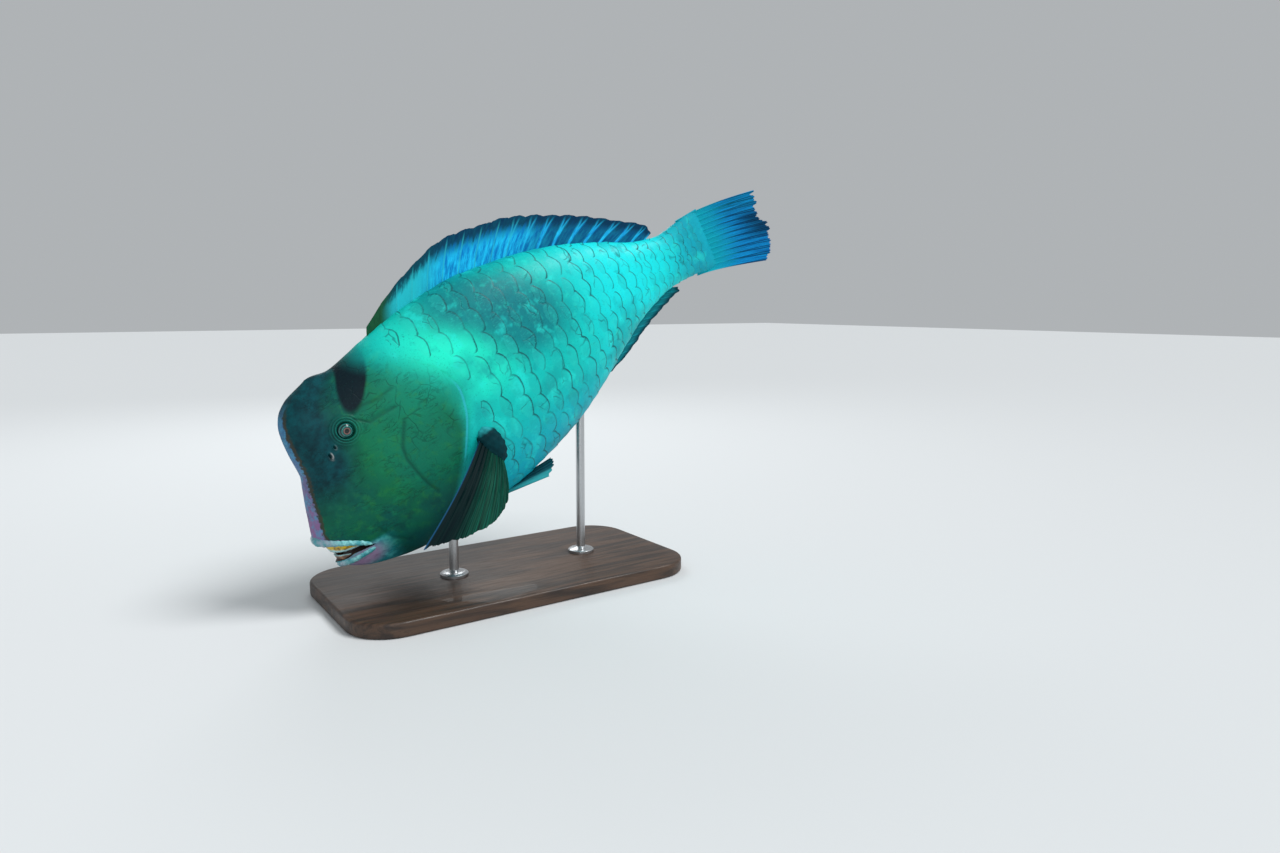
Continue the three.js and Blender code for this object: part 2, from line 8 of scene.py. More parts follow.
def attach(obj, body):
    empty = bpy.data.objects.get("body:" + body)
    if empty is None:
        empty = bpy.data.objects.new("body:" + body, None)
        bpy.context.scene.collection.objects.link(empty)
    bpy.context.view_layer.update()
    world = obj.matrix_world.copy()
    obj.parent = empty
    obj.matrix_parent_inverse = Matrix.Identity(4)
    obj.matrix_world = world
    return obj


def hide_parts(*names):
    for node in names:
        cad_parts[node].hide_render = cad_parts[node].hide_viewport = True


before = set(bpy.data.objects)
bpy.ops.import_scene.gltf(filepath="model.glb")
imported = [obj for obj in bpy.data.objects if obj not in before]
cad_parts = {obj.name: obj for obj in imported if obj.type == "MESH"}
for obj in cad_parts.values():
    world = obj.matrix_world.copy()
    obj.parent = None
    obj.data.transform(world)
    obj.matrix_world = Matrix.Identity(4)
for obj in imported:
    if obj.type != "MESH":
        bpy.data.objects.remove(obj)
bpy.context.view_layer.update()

# Camera: low on the fish's left side, ahead of it, looking back along the body.
# The frame is 1280 by 853, and a 24 mm lens gives the same strong perspective as the photo.
camera_data = bpy.data.cameras.new("photo_camera")
camera_data.sensor_width = 36.0
camera_data.lens = 23.99
camera_data.clip_end = 60.0
camera = bpy.data.objects.new("photo_camera", camera_data)
bpy.context.scene.collection.objects.link(camera)
turned = Matrix((
    (0.814876, 0.080156, -0.574066),
    (-0.579626, 0.118099, -0.806279),
    (0.003168, 0.989761, 0.142696),
))
camera.matrix_world = Matrix.Translation((-0.6578, -1.34055, 0.48824)) @ turned.to_4x4()
bpy.context.scene.camera = camera


# Studio: a plain pale floor under soft light, the brightest of it high over the back and tail.
# Two panes soften it, one from the camera's side to keep the dark head readable.
def hang_light(name, data, place, way):
    made = bpy.data.objects.new(name, data)
    made.location = place
    made.rotation_euler = way.to_track_quat("-Z", "Y").to_euler()
    bpy.context.scene.collection.objects.link(made)


for name, place, aim, width, power, tint in (
    ("front_pane", (-1.2, -2.6, 1.0), (-0.1, 0.0, 0.3), 1.6, 12.0, (0.95, 0.98, 1.0)),
    ("back_pane", (0.6, 2.2, 1.9), (0.1, 0.0, 0.4), 1.4, 16.0, (0.96, 0.99, 1.0)),
):
    pane = bpy.data.lights.new(name, "AREA")
    pane.shape = "RECTANGLE"
    pane.size = width
    pane.size_y = width * 0.7
    pane.energy = power
    pane.color = tint
    hang_light(name, pane, place, Vector(aim) - Vector(place))
high_light = bpy.data.lights.new("high_light", "SUN")
high_light.energy = 2.3
high_light.angle = math.radians(24)
hang_light("high_light", high_light, (0.0, 0.0, 0.0), Vector((-0.45, 0.5, -1.0)))
world = bpy.data.worlds.new("studio")
world.use_nodes = True
world.node_tree.nodes["Background"].inputs["Color"].default_value = (0.86, 0.9, 0.93, 1.0)
world.node_tree.nodes["Background"].inputs["Strength"].default_value = 0.5
bpy.context.scene.world = world
bpy.context.scene.view_settings.view_transform = "Standard"

bpy.ops.object.select_all(action="DESELECT")
bpy.ops.mesh.primitive_plane_add(size=30.0, location=(0.0, 0.0, -0.0004))
floor = bpy.context.object
floor.name = "studio_floor"
pale = bpy.data.materials.new("pale_floor")
pale.use_nodes = True
pale.node_tree.nodes["Principled BSDF"].inputs["Base Color"].default_value = (0.66, 0.68, 0.69, 1.0)
pale.node_tree.nodes["Principled BSDF"].inputs["Roughness"].default_value = 0.85
floor.data.materials.append(pale)


# Skin: the tough wet hide of a reef fish, unbroken over its head, jaw, trunk and tail stalk. It is drawn as
# slanted sections behind the face, and the mouth is cut out of it. All its outlines are millimetres in the
# fish's own frame: x back from the lip, y to its right, z out of its back.
NOSE_DOWN = math.radians(29.6)
LIP_AHEAD = 352.0
LIP_HEIGHT = 170.0
BACK = [
    (60, 150), (95, 161), (128, 163), (160, 157), (200, 163), (250, 174), (320, 182), (390, 184), (460, 175),
    (540, 159), (620, 133), (700, 97), (765, 65), (820, 52), (880, 60), (905, 61),
]
BELLY = [
    (0, -96), (28, -128), (71, -153), (139, -174), (230, -184), (330, -183), (406, -174), (486, -158),
    (566, -130), (640, -97), (720, -66), (800, -51), (850, -54), (880, -60), (905, -61),
]
WIDEST = [(0, -20), (60, 0), (150, -8), (260, -18), (420, -5), (600, 4), (760, 0), (905, 0)]
HALF_WIDTH = [
    (0, 0), (3, 13), (10, 24), (24, 35), (50, 45), (95, 55), (160, 66), (240, 78), (320, 86), (390, 86),
    (470, 79), (560, 65), (650, 48), (740, 34), (820, 25), (865, 17), (890, 10), (905, 0),
]
FACE = [
    (-175, 60), (-150, 44), (-136, 26), (-120, 13), (-100, 6), (-80, 2), (-58, 0), (-20, 12), (20, 29),
    (42, 38), (80, 42), (115, 49), (135, 60), (150, 80), (163, 122), (185, 150),
]
GILL_EDGE = [
    (-200, 128), (-172, 150), (-130, 196), (-80, 238), (-35, 268), (10, 292), (45, 300), (80, 290),
    (115, 262), (145, 232), (200, 205),
]
HIDE_END = 905.0
FACE_SLANT_FADES = 250.0
FLANK_FULLNESS = 0.92
TAIL_SWING, SWING_FROM, SWING_OVER = 22.0, 620.0, 260.0
GILL_COVER_LIFT = 4.0
EYE_X, EYE_Z, EYE_RADIUS = 124.0, 76.0, 13.0
COAT_DEPTH = 1.3
HIDE_RINGS, HIDE_ROUND = 250, 264
HEAD_RINGS = 130
GILL_FOLD_RING, GILL_CREST_RING, TRUNK_RING = HEAD_RINGS + 1, HEAD_RINGS + 2, HEAD_RINGS + 3


def smooth_through(pairs):
    # A curve through the pairs that never overshoots between them.
    xs, ys = np.array(pairs, float).T
    rises = np.diff(ys) / np.diff(xs)
    slopes = np.zeros(len(xs))
    slopes[0], slopes[-1] = rises[0], rises[-1]
    for i in range(1, len(xs) - 1):
        before, after = rises[i - 1], rises[i]
        slopes[i] = 2 * before * after / (before + after) if before * after > 0 else 0.0

    def at(value):
        value = np.clip(np.asarray(value, float), xs[0], xs[-1])
        i = np.clip(np.searchsorted(xs, value, side="right") - 1, 0, len(xs) - 2)
        span = xs[i + 1] - xs[i]
        t = (value - xs[i]) / span
        blend = t * t * (3 - 2 * t)
        bend = t * (1 - t) ** 2 * slopes[i] * span - t * t * (1 - t) * slopes[i + 1] * span
        return ys[i] * (1 - blend) + ys[i + 1] * blend + bend

    return at


def ramp(low, high, value):
    t = np.clip((np.asarray(value, float) - low) / (high - low), 0.0, 1.0)
    return t * t * (3 - 2 * t)


def bump_at(value, middle, width):
    return np.exp(-(((value - middle) / width) ** 2))


back_z, belly_z, widest_z = smooth_through(BACK), smooth_through(BELLY), smooth_through(WIDEST)
half_width, face_x, gill_edge_x = smooth_through(HALF_WIDTH), smooth_through(FACE), smooth_through(GILL_EDGE)


def tail_swing(x):
    return -TAIL_SWING * (np.maximum(0.0, np.asarray(x, float) - SWING_FROM) / SWING_OVER) ** 3


def slanted(station, z):
    return station + np.maximum(0.0, 1.0 - station / FACE_SLANT_FADES) ** 1.3 * face_x(z)


def section(station):
    top, bottom = back_z(slanted(station, 160.0)), belly_z(slanted(station, -110.0))
    for _ in range(6):
        top, bottom = back_z(slanted(station, top)), belly_z(slanted(station, bottom))
    middle = widest_z(station) * 0.65 + (top + bottom) * 0.175
    return top, bottom, middle


def skin_point(station, angle, lift=0.0, side_lift=0.0):
    top, bottom, middle = section(station)
    up, side = np.sin(angle), np.cos(angle)
    z = middle + np.where(up > 0, top - middle + lift, middle - bottom + lift) * up
    x = slanted(station, z)
    wide = half_width(station)
    full = np.sign(side) * np.abs(side) ** FLANK_FULLNESS
    y = full * (wide + (lift + side_lift) * np.minimum(1.0, wide / 12.0))
    return np.stack([x, y + tail_swing(x), z], -1)


def flank_y(x, z):
    # The skin's half width at a place in side view.
    x, z = np.broadcast_arrays(np.asarray(x, float), np.asarray(z, float))
    low, high = np.zeros(x.shape), x + 1.0
    for _ in range(30):
        tried = (low + high) / 2
        short = slanted(tried, z) < x
        low, high = np.where(short, tried, low), np.where(short, high, tried)
    top, bottom, middle = section(low)
    up = np.where(z > middle, (z - middle) / (top - middle), (middle - z) / (middle - bottom))
    return half_width(low) * np.sqrt(1 - np.minimum(1.0, np.maximum(up, 0.0)) ** 2) ** FLANK_FULLNESS


def put(piece, points):
    # Fish frame in millimetres to the row frame in metres.
    c, s = math.cos(NOSE_DOWN), math.sin(NOSE_DOWN)
    x, y, z = points[..., 0], points[..., 1], points[..., 2]
    placed = np.stack([x * c - z * s - LIP_AHEAD, y, x * s + z * c + LIP_HEIGHT], -1) / 1000.0
    piece.data.vertices.foreach_set("co", placed.reshape(-1))
    piece.data.update()


def sheet_places(piece):
    flat = np.zeros(len(piece.data.vertices) * 3)
    piece.data.vertices.foreach_get("co", flat)
    return flat[0::3] + 0.5, flat[1::3] + 0.5


def blank_sheet(name, across, along):
    bpy.ops.object.select_all(action="DESELECT")
    bpy.ops.mesh.primitive_grid_add(x_subdivisions=across, y_subdivisions=along, size=1.0)
    piece = bpy.context.object
    piece.name = name
    return piece, *sheet_places(piece)


def note(piece, name, values):
    layer = piece.data.attributes.new(name, "FLOAT", "POINT")
    layer.data.foreach_set("value", np.asarray(values, np.float32))


def pick_only(piece):
    bpy.ops.object.select_all(action="DESELECT")
    piece.select_set(True)
    bpy.context.view_layer.objects.active = piece


def pick_parts(piece, kind, wanted):
    # Leaves the piece in edit mode, with only the wanted vertices, edges or faces selected.
    bpy.ops.object.mode_set(mode="EDIT")
    bpy.ops.mesh.select_mode(type=kind)
    bpy.ops.mesh.select_all(action="DESELECT")
    bpy.ops.object.mode_set(mode="OBJECT")
    parts = {"VERT": piece.data.vertices, "EDGE": piece.data.edges, "FACE": piece.data.polygons}[kind]
    parts.foreach_set("select", wanted)
    bpy.ops.object.mode_set(mode="EDIT")


def face_outwards(weld=False):
    bpy.ops.object.mode_set(mode="EDIT")
    bpy.ops.mesh.select_all(action="SELECT")
    if weld:
        bpy.ops.mesh.remove_doubles(threshold=0.00002)
    bpy.ops.mesh.normals_make_consistent(inside=False)
    bpy.ops.object.mode_set(mode="OBJECT")


def close_up(piece):
    bpy.context.view_layer.objects.active = piece
    face_outwards(weld=True)
    bpy.ops.object.shade_smooth()


def apply_all(piece):
    pick_only(piece)
    for modifier in list(piece.modifiers):
        bpy.ops.object.modifier_apply(modifier=modifier.name)


def join_solid(piece, other, operation):
    # Cuts the other solid out of the piece or fuses it in, finish and all, and clears it away.
    joint = piece.modifiers.new("joint", "BOOLEAN")
    joint.object = other
    joint.operation = operation
    joint.solver = "EXACT"
    joint.material_mode = "TRANSFER"
    apply_all(piece)
    bpy.data.objects.remove(other)


def hide_lie(lengthwise, round_body):
    # Where each spot of the flat sheet lies: the section's station, the turn round it, and its ring's number.
    turn = -math.pi / 2 + 2 * math.pi * round_body
    low, high = np.zeros(len(turn)), np.full(len(turn), 400.0)
    for _ in range(32):
        gill = (low + high) / 2
        here = skin_point(gill, turn)
        ahead = here[:, 0] < gill_edge_x(here[:, 2])
        low, high = np.where(ahead, gill, low), np.where(ahead, high, gill)
    ring = lengthwise * HIDE_RINGS
    head_share = np.clip(ring / HEAD_RINGS, 0, 1)
    trunk_share = np.clip((ring - TRUNK_RING) / (HIDE_RINGS - TRUNK_RING), 0, 1)
    station = np.where(
        ring < HEAD_RINGS + 0.5,
        gill * (0.25 * head_share**2 + 0.75 * head_share) * (1 - 0.3 * (1 - head_share) ** 3),
        gill + (HIDE_END - gill) * (1 - (1 - trunk_share) ** 1.25),
    )
    station = np.where(np.abs(ring - GILL_FOLD_RING) < 0.4, gill - 4.0, station)
    station = np.where(np.abs(ring - GILL_CREST_RING) < 0.4, gill - 1.0, station)
    return station, turn, ring


def on_flank(turn):
    return np.abs(np.cos(turn)) > 0.3


# The sheet is rolled into the body, with a finer net round the eye and the nostrils.
FINE_X, FINE_Z, FINE_REACH = 118, 72, 40
skin, lengthwise, round_body = blank_sheet("skin", HIDE_RINGS, HIDE_ROUND)
station, turn, ring = hide_lie(lengthwise, round_body)
plain = skin_point(station, turn)
pick_parts(skin, "VERT", (np.hypot(plain[:, 0] - FINE_X, plain[:, 2] - FINE_Z) < FINE_REACH) & on_flank(turn))
bpy.ops.mesh.subdivide(number_cuts=2)
bpy.ops.object.mode_set(mode="OBJECT")
station, turn, ring = hide_lie(*sheet_places(skin))
plain = skin_point(station, turn)
px, pz = plain[:, 0], plain[:, 2]
edge_x = gill_edge_x(pz)
from_eye = np.hypot(px - EYE_X, pz - EYE_Z)


def rings_round_eye(rows):
    return sum(strong * bump_at(from_eye, radius, width) for strong, radius, width in rows)


def near_line(points, width):
    closest = np.full(len(px), 1e9)
    for (ax, az), (bx, bz) in zip(points, points[1:]):
        t = np.clip(((px - ax) * (bx - ax) + (pz - az) * (bz - az)) / ((bx - ax) ** 2 + (bz - az) ** 2), 0, 1)
        closest = np.minimum(closest, np.hypot(px - ax - t * (bx - ax), pz - az - t * (bz - az)))
    return np.exp(-((closest / width) ** 2))


# Relief: the gill cover's proud rear edge, the orbit's rings, the nostrils and the cheek's creases.
cover = GILL_COVER_LIFT * ramp(-85, 0, px - edge_x) * ramp(-178, -130, pz) * ramp(128, 70, pz)
cover = np.where(ring < HEAD_RINGS + 0.5, cover, 0.0)
orbit = rings_round_eye([(2.4, 14.6, 1.5), (1.5, 18.6, 1.3), (0.8, 22.6, 1.5)])
orbit = orbit + 1.2 * ramp(30, 17, from_eye) - 8.0 * ramp(12.9, 9.5, from_eye)
nostril_glints = np.zeros(len(px))
for nostril_x, nostril_z, nostril, glint_share in ((85.0, 55.0, 2.9, 1.0), (97.0, 63.0, 2.1, 0.25)):
    away = np.hypot(px - nostril_x, (pz - nostril_z) / 1.5)
    orbit = orbit + 1.5 * bump_at(away, nostril * 1.2, 1.1) - 4.5 * ramp(nostril, nostril * 0.35, away)
    # A painted glint, pale, on one side of each nostril's rim, strongest on the lower nostril.
    lit_side = ramp(-1.0, 2.0, (px - nostril_x) * 0.8 + (nostril_z - pz) * 0.6)
    nostril_glints = nostril_glints + bump_at(away, nostril * 1.15, 0.9) * lit_side * glint_share
creases = (
    0.9 * near_line([(202, 45), (188, 25), (178, 10), (174, -10), (177, -40), (182, -64), (190, -84)], 2.6)
    + 0.9 * near_line([(143, 84), (158, 70), (184, 71), (203, 70)], 2.4)
    + 0.7 * near_line([(146, 92), (165, 96), (190, 92), (214, 97)], 2.4)
    + 0.5 * near_line([(84, -84), (96, -112), (118, -136)], 3.5)
)
under_coat = -COAT_DEPTH * ramp(-2, 14, px - edge_x)
lift = np.where(on_flank(turn), orbit, 0.0) - creases + under_coat
side_lift = cover - np.where(np.abs(ring - GILL_FOLD_RING) < 0.4, 1.6, 0.0)
put(skin, skin_point(station, turn, lift, side_lift))
note(skin, "behind_gill", (px - edge_x) / 1000.0)
note(skin, "behind_face", (px - face_x(pz)) / 1000.0)
orbit_ring = rings_round_eye([(1.0, 14.4, 0.8), (0.7, 18.4, 0.7), (0.15, 22.4, 0.8)])
# The creases and the valleys between the orbit's rings are marked for darkening in the skin's colour: painted
# shade.
ring_dips = rings_round_eye([(0.8, 12.4, 0.9), (0.7, 16.4, 0.8), (0.25, 20.4, 0.9)])
note(skin, "crease_shade", np.clip(creases + ring_dips * on_flank(turn), 0, 1))
note(skin, "orbit_ring", np.clip(orbit_ring, 0, 1) * on_flank(turn))
note(skin, "nostril", np.clip(nostril_glints, 0, 1) * on_flank(turn))
close_up(skin)

# The open mouth: a wedge from cheek to cheek, cut out of the skin once the skin has its finish.
MOUTH_HALF_WIDE = 70.0
upper_line = []
for share in (0, 0.08, 0.16, 0.24, 0.32, 0.4, 0.54, 1):
    forward = min(1.0, share * 1.85)
    upper_line.append((70 - 130 * share, -106 + 46 * forward + 4 * math.sin(forward * math.pi)))
mouth_outline = upper_line + [(-60, -103), (12, -105), (24, -104), (36, -101)]
count = len(mouth_outline)
walls = np.array([(x, side * MOUTH_HALF_WIDE, z) for side in (-1, 1) for x, z in mouth_outline])
faces = [tuple(range(count)), tuple(range(2 * count - 1, count - 1, -1))]
faces += [(i, i + count, (i + 1) % count + count, (i + 1) % count) for i in range(count)]
mouth_cutter = bpy.data.meshes.new("mouth_opening")
mouth_cutter.from_pydata(walls.tolist(), [], faces)
opening = bpy.data.objects.new("mouth_opening", mouth_cutter)
bpy.context.scene.collection.objects.link(opening)
put(opening, walls)


class Brush:
    """Adds nodes to one material or group, each in a single short call."""

    def __init__(self, tree):
        self.tree = tree

    def add(self, kind, **settings):
        made = self.tree.nodes.new(kind)
        for name, value in settings.items():
            setattr(made, name, value)
        return made

    def feed(self, socket, value):
        if isinstance(value, bpy.types.NodeSocket):
            self.tree.links.new(value, socket)
        elif isinstance(value, (int, float)):
            socket.default_value = value
        else:
            opaque = (1.0,) if socket.type == "RGBA" and len(value) == 3 else ()
            socket.default_value = tuple(value) + opaque

    def feed_all(self, made, values):
        for name, value in values.items():
            self.feed(made.inputs[name], value)
        return made.outputs

    def math(self, operation, first, second=0.0):
        made = self.add("ShaderNodeMath", operation=operation)
        self.feed(made.inputs[0], first)
        self.feed(made.inputs[1], second)
        return made.outputs[0]

    def times(self, first, *others):
        for other in others:
            first = self.math("MULTIPLY", first, other)
        return first

    def waver(self, value, noise, reach):
        # The value moved up and down by the noise, at most half the reach each way.
        return self.math("ADD", value, self.times(self.math("SUBTRACT", noise, 0.5), reach))

    def mask(self, value, low, high, start=0.0, end=1.0):
        made = self.add("ShaderNodeMapRange", interpolation_type="SMOOTHSTEP")
        limits = {"Value": value, "From Min": low, "From Max": high, "To Min": start, "To Max": end}
        return self.feed_all(made, limits)["Result"]

    def mix(self, share, a, b):
        made = self.add("ShaderNodeMix", data_type="RGBA")
        for socket, value in ((made.inputs[0], share), (made.inputs[6], a), (made.inputs[7], b)):
            self.feed(socket, value)
        return made.outputs[2]

    def over(self, under, tint, *shares):
        # The tint laid over another colour by the product of the shares.
        return self.mix(self.times(*shares), under, tint)

    def noise(self, place, scale, detail=3.0, rough=0.55, distortion=0.0):
        return self.feed_all(self.add("ShaderNodeTexNoise"), {
            "Vector": place, "Scale": scale, "Detail": detail, "Roughness": rough, "Distortion": distortion,
        })["Fac"]

    def cells(self, place, scale):
        made = self.add("ShaderNodeTexVoronoi", feature="DISTANCE_TO_EDGE")
        return self.feed_all(made, {"Vector": place, "Scale": scale})["Distance"]

    def value_of(self, name):
        return self.add("ShaderNodeAttribute", attribute_name=name).outputs["Fac"]

    def parts_of(self, vector):
        return self.feed_all(self.add("ShaderNodeSeparateXYZ"), {"Vector": vector})

    def stretched(self, place, scale, turn=0.0):
        made = self.add("ShaderNodeMapping")
        self.feed_all(made, {"Vector": place, "Scale": scale, "Rotation": (0.0, turn, 0.0)})
        return made.outputs[0]

    def effect(self, group, values):
        return self.feed_all(self.add("ShaderNodeGroup", node_tree=group), values)


def new_effect(name, inputs, outputs):
    # A group with named sockets, and the brush, givens and results to fill it with.
    tree = bpy.data.node_groups.new(name, "ShaderNodeTree")
    for way, sockets in (("INPUT", inputs), ("OUTPUT", outputs)):
        for socket, kind in sockets.items():
            tree.interface.new_socket(name=socket, in_out=way, socket_type="NodeSocket" + kind)
    b = Brush(tree)
    return tree, b, b.add("NodeGroupInput").outputs, b.add("NodeGroupOutput").inputs


def fish_place(brush):
    # Object coordinates turned back into the fish's own frame, in metres.
    c, s = math.cos(NOSE_DOWN), math.sin(NOSE_DOWN)
    ahead, height = LIP_AHEAD / 1000.0, LIP_HEIGHT / 1000.0
    turned_back = brush.add("ShaderNodeMapping")
    brush.feed_all(turned_back, {
        "Vector": brush.add("ShaderNodeTexCoord").outputs["Object"],
        "Rotation": (0.0, NOSE_DOWN, 0.0),
        "Location": (ahead * c - height * s, 0.0, -ahead * s - height * c),
    })
    return turned_back.outputs[0]


# The animal's markings, shared by its skin and scales: a green head and a turquoise flank, with painted
# highlights that brighten the shoulder and the rear of the trunk, and painted shadow under the dorsal fin.
markings_and_painted_light, b, given, done = new_effect(
    "parrotfish_markings_and_painted_light",
    {"Place": "Vector", "Behind Gill": "Float", "Behind Face": "Float"},
    {"Colour": "Color", "Head": "Float"},
)
place, behind_gill, behind_face = given["Place"], given["Behind Gill"], given["Behind Face"]
split = b.parts_of(place)
x, z = split["X"], split["Z"]
broad = b.noise(place, 9.0, 3.0)
middling = b.noise(place, 28.0, 3.0, 0.6)
fine = b.noise(place, 70.0, 4.0, 0.6)


def blob(middle_x, middle_z, reach_x, reach_z, tilt=0.0, soft=0.45):
    # A wavering oval patch of the side view.
    dx = b.math("SUBTRACT", x, middle_x)
    dz = b.math("SUBTRACT", z, middle_z)
    c, s = math.cos(tilt), math.sin(tilt)
    along = b.math("ADD", b.times(dx, c / reach_x), b.times(dz, s / reach_x))
    across = b.math("ADD", b.times(dx, -s / reach_z), b.times(dz, c / reach_z))
    away = b.math("SQRT", b.math("ADD", b.math("POWER", along, 2.0), b.math("POWER", across, 2.0)))
    return b.mask(b.waver(away, broad, 0.5), 1.0 + soft, 1.0 - soft)


flank = b.mix(b.mask(z, -0.03, -0.17), (0.003, 0.52, 0.47), (0.003, 0.42, 0.56))
# Painted highlights: a bright patch on the shoulder, and the rear of the trunk made brighter, where the light
# falls from above and behind.
flank = b.over(flank, (0.015, 0.86, 0.60), blob(0.335, 0.09, 0.10, 0.08, 0.2, 0.6))
flank = b.over(flank, (0.006, 0.78, 0.80), b.mask(x, 0.50, 0.70))
# Painted shadow of the dorsal fin: two dark patches on the flank below it.
for shadow_x, shadow_z, shadow_long, shadow_high in ((0.400, 0.142, 0.095, 0.046), (0.460, 0.075, 0.085, 0.055)):
    dorsal_shadow = blob(shadow_x, shadow_z, shadow_long, shadow_high, -0.35, 0.55)
    flank = b.over(flank, (0.002, 0.18, 0.21), dorsal_shadow, 0.92)
flank = b.over(flank, (0.004, 0.31, 0.44), b.mask(x, 0.765, 0.87), 0.85)
flank = b.over(flank, (0.003, 0.26, 0.28), b.mask(broad, 0.52, 0.70), 0.55)
flank = b.over(flank, (0.02, 0.88, 0.78), b.mask(middling, 0.54, 0.70), 0.4)
flank = b.over(flank, (0.003, 0.24, 0.27), b.mask(middling, 0.44, 0.30), 0.4)
flank = b.over(flank, (0.02, 0.70, 0.55), b.mask(fine, 0.52, 0.75), 0.35)
face = b.mix(b.mask(broad, 0.35, 0.68), (0.001, 0.090, 0.075), (0.004, 0.15, 0.055))
face = b.over(face, (0.001, 0.045, 0.045), b.mask(middling, 0.42, 0.28), 0.6)
face = b.over(face, (0.01, 0.25, 0.10), b.mask(middling, 0.56, 0.72), 0.5)
face = b.over(face, (0.005, 0.20, 0.11), blob(0.20, 0.02, 0.07, 0.09), 0.7)
face = b.over(face, (0.004, 0.30, 0.20), b.mask(z, 0.0, 0.12), b.mask(x, 0.17, 0.26))
face = b.over(face, (0.025, 0.22, 0.05), b.mask(fine, 0.5, 0.72), 0.35)
hump = b.mix(b.mask(fine, 0.3, 0.7), (0.001, 0.030, 0.040), (0.001, 0.066, 0.080))
face = b.over(face, hump, b.mask(behind_face, 0.105, 0.05), b.mask(z, -0.06, 0.03))
face = b.over(face, (0.001, 0.010, 0.016), blob(0.178, 0.140, 0.056, 0.020, 0.93, 0.14))
face = b.over(face, (0.002, 0.06, 0.065), b.mask(z, -0.10, -0.15), 0.8)
jaw = b.mix(b.mask(fine, 0.42, 0.62), (0.012, 0.28, 0.34), (0.08, 0.52, 0.55))
jaw = b.over(jaw, (0.36, 0.20, 0.36), blob(0.048, -0.119, 0.030, 0.018, 0.0, 0.6), 0.85)
face = b.over(face, jaw, b.mask(x, 0.108, 0.066), b.mask(z, -0.094, -0.104))
rim_edge = b.waver(behind_face, b.noise(place, 160.0, 2.0), 0.009)
beyond_rim = b.math("SUBTRACT", rim_edge, b.mask(z, 0.04, -0.05, 0.0045, 0.012))
above_lip = b.times(b.mask(z, -0.078, -0.066), b.mask(z, 0.155, 0.12))
face = b.over(face, (0.05, 0.045, 0.03), b.mask(beyond_rim, 0.006, 0.003), above_lip, 0.85)
rim_tint = b.mix(b.mask(z, 0.09, -0.02), (0.05, 0.17, 0.33), (0.25, 0.14, 0.30))
rim_tint = b.over(rim_tint, (0.07, 0.30, 0.48), b.mask(fine, 0.42, 0.62), 0.75)
face = b.over(face, rim_tint, b.mask(beyond_rim, 0.0015, -0.001), above_lip)
head_ends = b.mask(z, 0.07, -0.03, 0.035, 0.012)
head_fades = b.mask(z, 0.07, -0.03, -0.06, -0.015)
head = b.mask(behind_gill, head_ends, head_fades)
both = b.mix(head, flank, face)
gill_line = b.times(b.mask(behind_gill, -0.0048, -0.0030), b.mask(behind_gill, 0.0010, -0.0002))
both = b.over(both, (0.03, 0.50, 0.60), gill_line, b.mask(z, -0.075, -0.045), b.mask(z, 0.07, 0.035), 0.65)
b.feed(done["Colour"], both)
b.feed(done["Head"], head)

# Cracks: a bent net of fine lines that shows in patches, on the cheeks and on the scales.
crack_net, b, given, done = new_effect(
    "crack_net",
    {
        "Place": "Vector", "Bend": "Float", "Bend Scale": "Float", "Stretch": "Vector", "Cell Scale": "Float",
        "Patch Scale": "Float", "Patch From": "Float", "Patch To": "Float",
    },
    {"Cracks": "Float"},
)
warp = b.feed_all(b.add("ShaderNodeTexNoise"), {"Vector": given["Place"], "Scale": given["Bend Scale"]})
bent = b.add("ShaderNodeMix", data_type="VECTOR")
for socket, value in ((0, given["Bend"]), (4, given["Place"]), (5, warp["Color"])):
    b.feed(bent.inputs[socket], value)
net = b.mask(b.cells(b.stretched(bent.outputs[1], given["Stretch"]), given["Cell Scale"]), 0.05, 0.0)
patches = b.mask(b.noise(given["Place"], given["Patch Scale"], 2.0), given["Patch From"], given["Patch To"])
b.feed(done["Cracks"], b.times(net, patches))


# The markings with their painted highlights and painted shadow, for the skin's and the scales' finishes.
def marked_with_painted_light(brush, place):
    return brush.effect(markings_and_painted_light, {
        "Place": place,
        "Behind Gill": brush.value_of("behind_gill"),
        "Behind Face": brush.value_of("behind_face"),
    })


def finish(name, roughness=0.5, specular=0.5, coat=0.0, coat_roughness=0.03):
    made = bpy.data.materials.new(name)
    made.use_nodes = True
    shader = made.node_tree.nodes["Principled BSDF"]
    shader.inputs["Roughness"].default_value = roughness
    shader.inputs["Specular IOR Level"].default_value = specular
    shader.inputs["Coat Weight"].default_value = coat
    shader.inputs["Coat Roughness"].default_value = coat_roughness
    return made, Brush(made.node_tree), shader


def raise_height(brush, shader, height, distance, strength=1.0):
    made = brush.add("ShaderNodeBump")
    brush.feed_all(made, {"Height": height, "Distance": distance, "Strength": strength})
    brush.feed(shader.inputs["Normal"], made.outputs["Normal"])


skin_finish, b, hide = finish("wet_hide", specular=0.12, coat=0.04, coat_roughness=0.25)
spot = fish_place(b)
drawn = marked_with_painted_light(b, spot)
cracks = b.times(
    b.effect(crack_net, {
        "Place": spot, "Bend": 0.045, "Bend Scale": 22.0, "Stretch": (1.0, 0.45, 0.8), "Cell Scale": 44.0,
        "Patch Scale": 30.0, "Patch From": 0.47, "Patch To": 0.60,
    })["Cracks"],
    drawn["Head"],
    b.mask(b.value_of("behind_gill"), -0.155, -0.10),
    b.mask(b.parts_of(spot)["Z"], -0.09, 0.03),
    0.55,
)
folds = b.noise(b.stretched(spot, (0.22, 1.0, 1.0), 0.42), 130.0, 3.0, 0.55, 0.4)
fold_lines = b.mask(b.math("ABSOLUTE", b.math("SUBTRACT", folds, 0.5)), 0.035, 0.0)
fold_lines = b.times(fold_lines, drawn["Head"], b.mask(b.noise(spot, 26.0, 2.0), 0.44, 0.60), 0.5)
cracks = b.math("MAXIMUM", cracks, fold_lines)
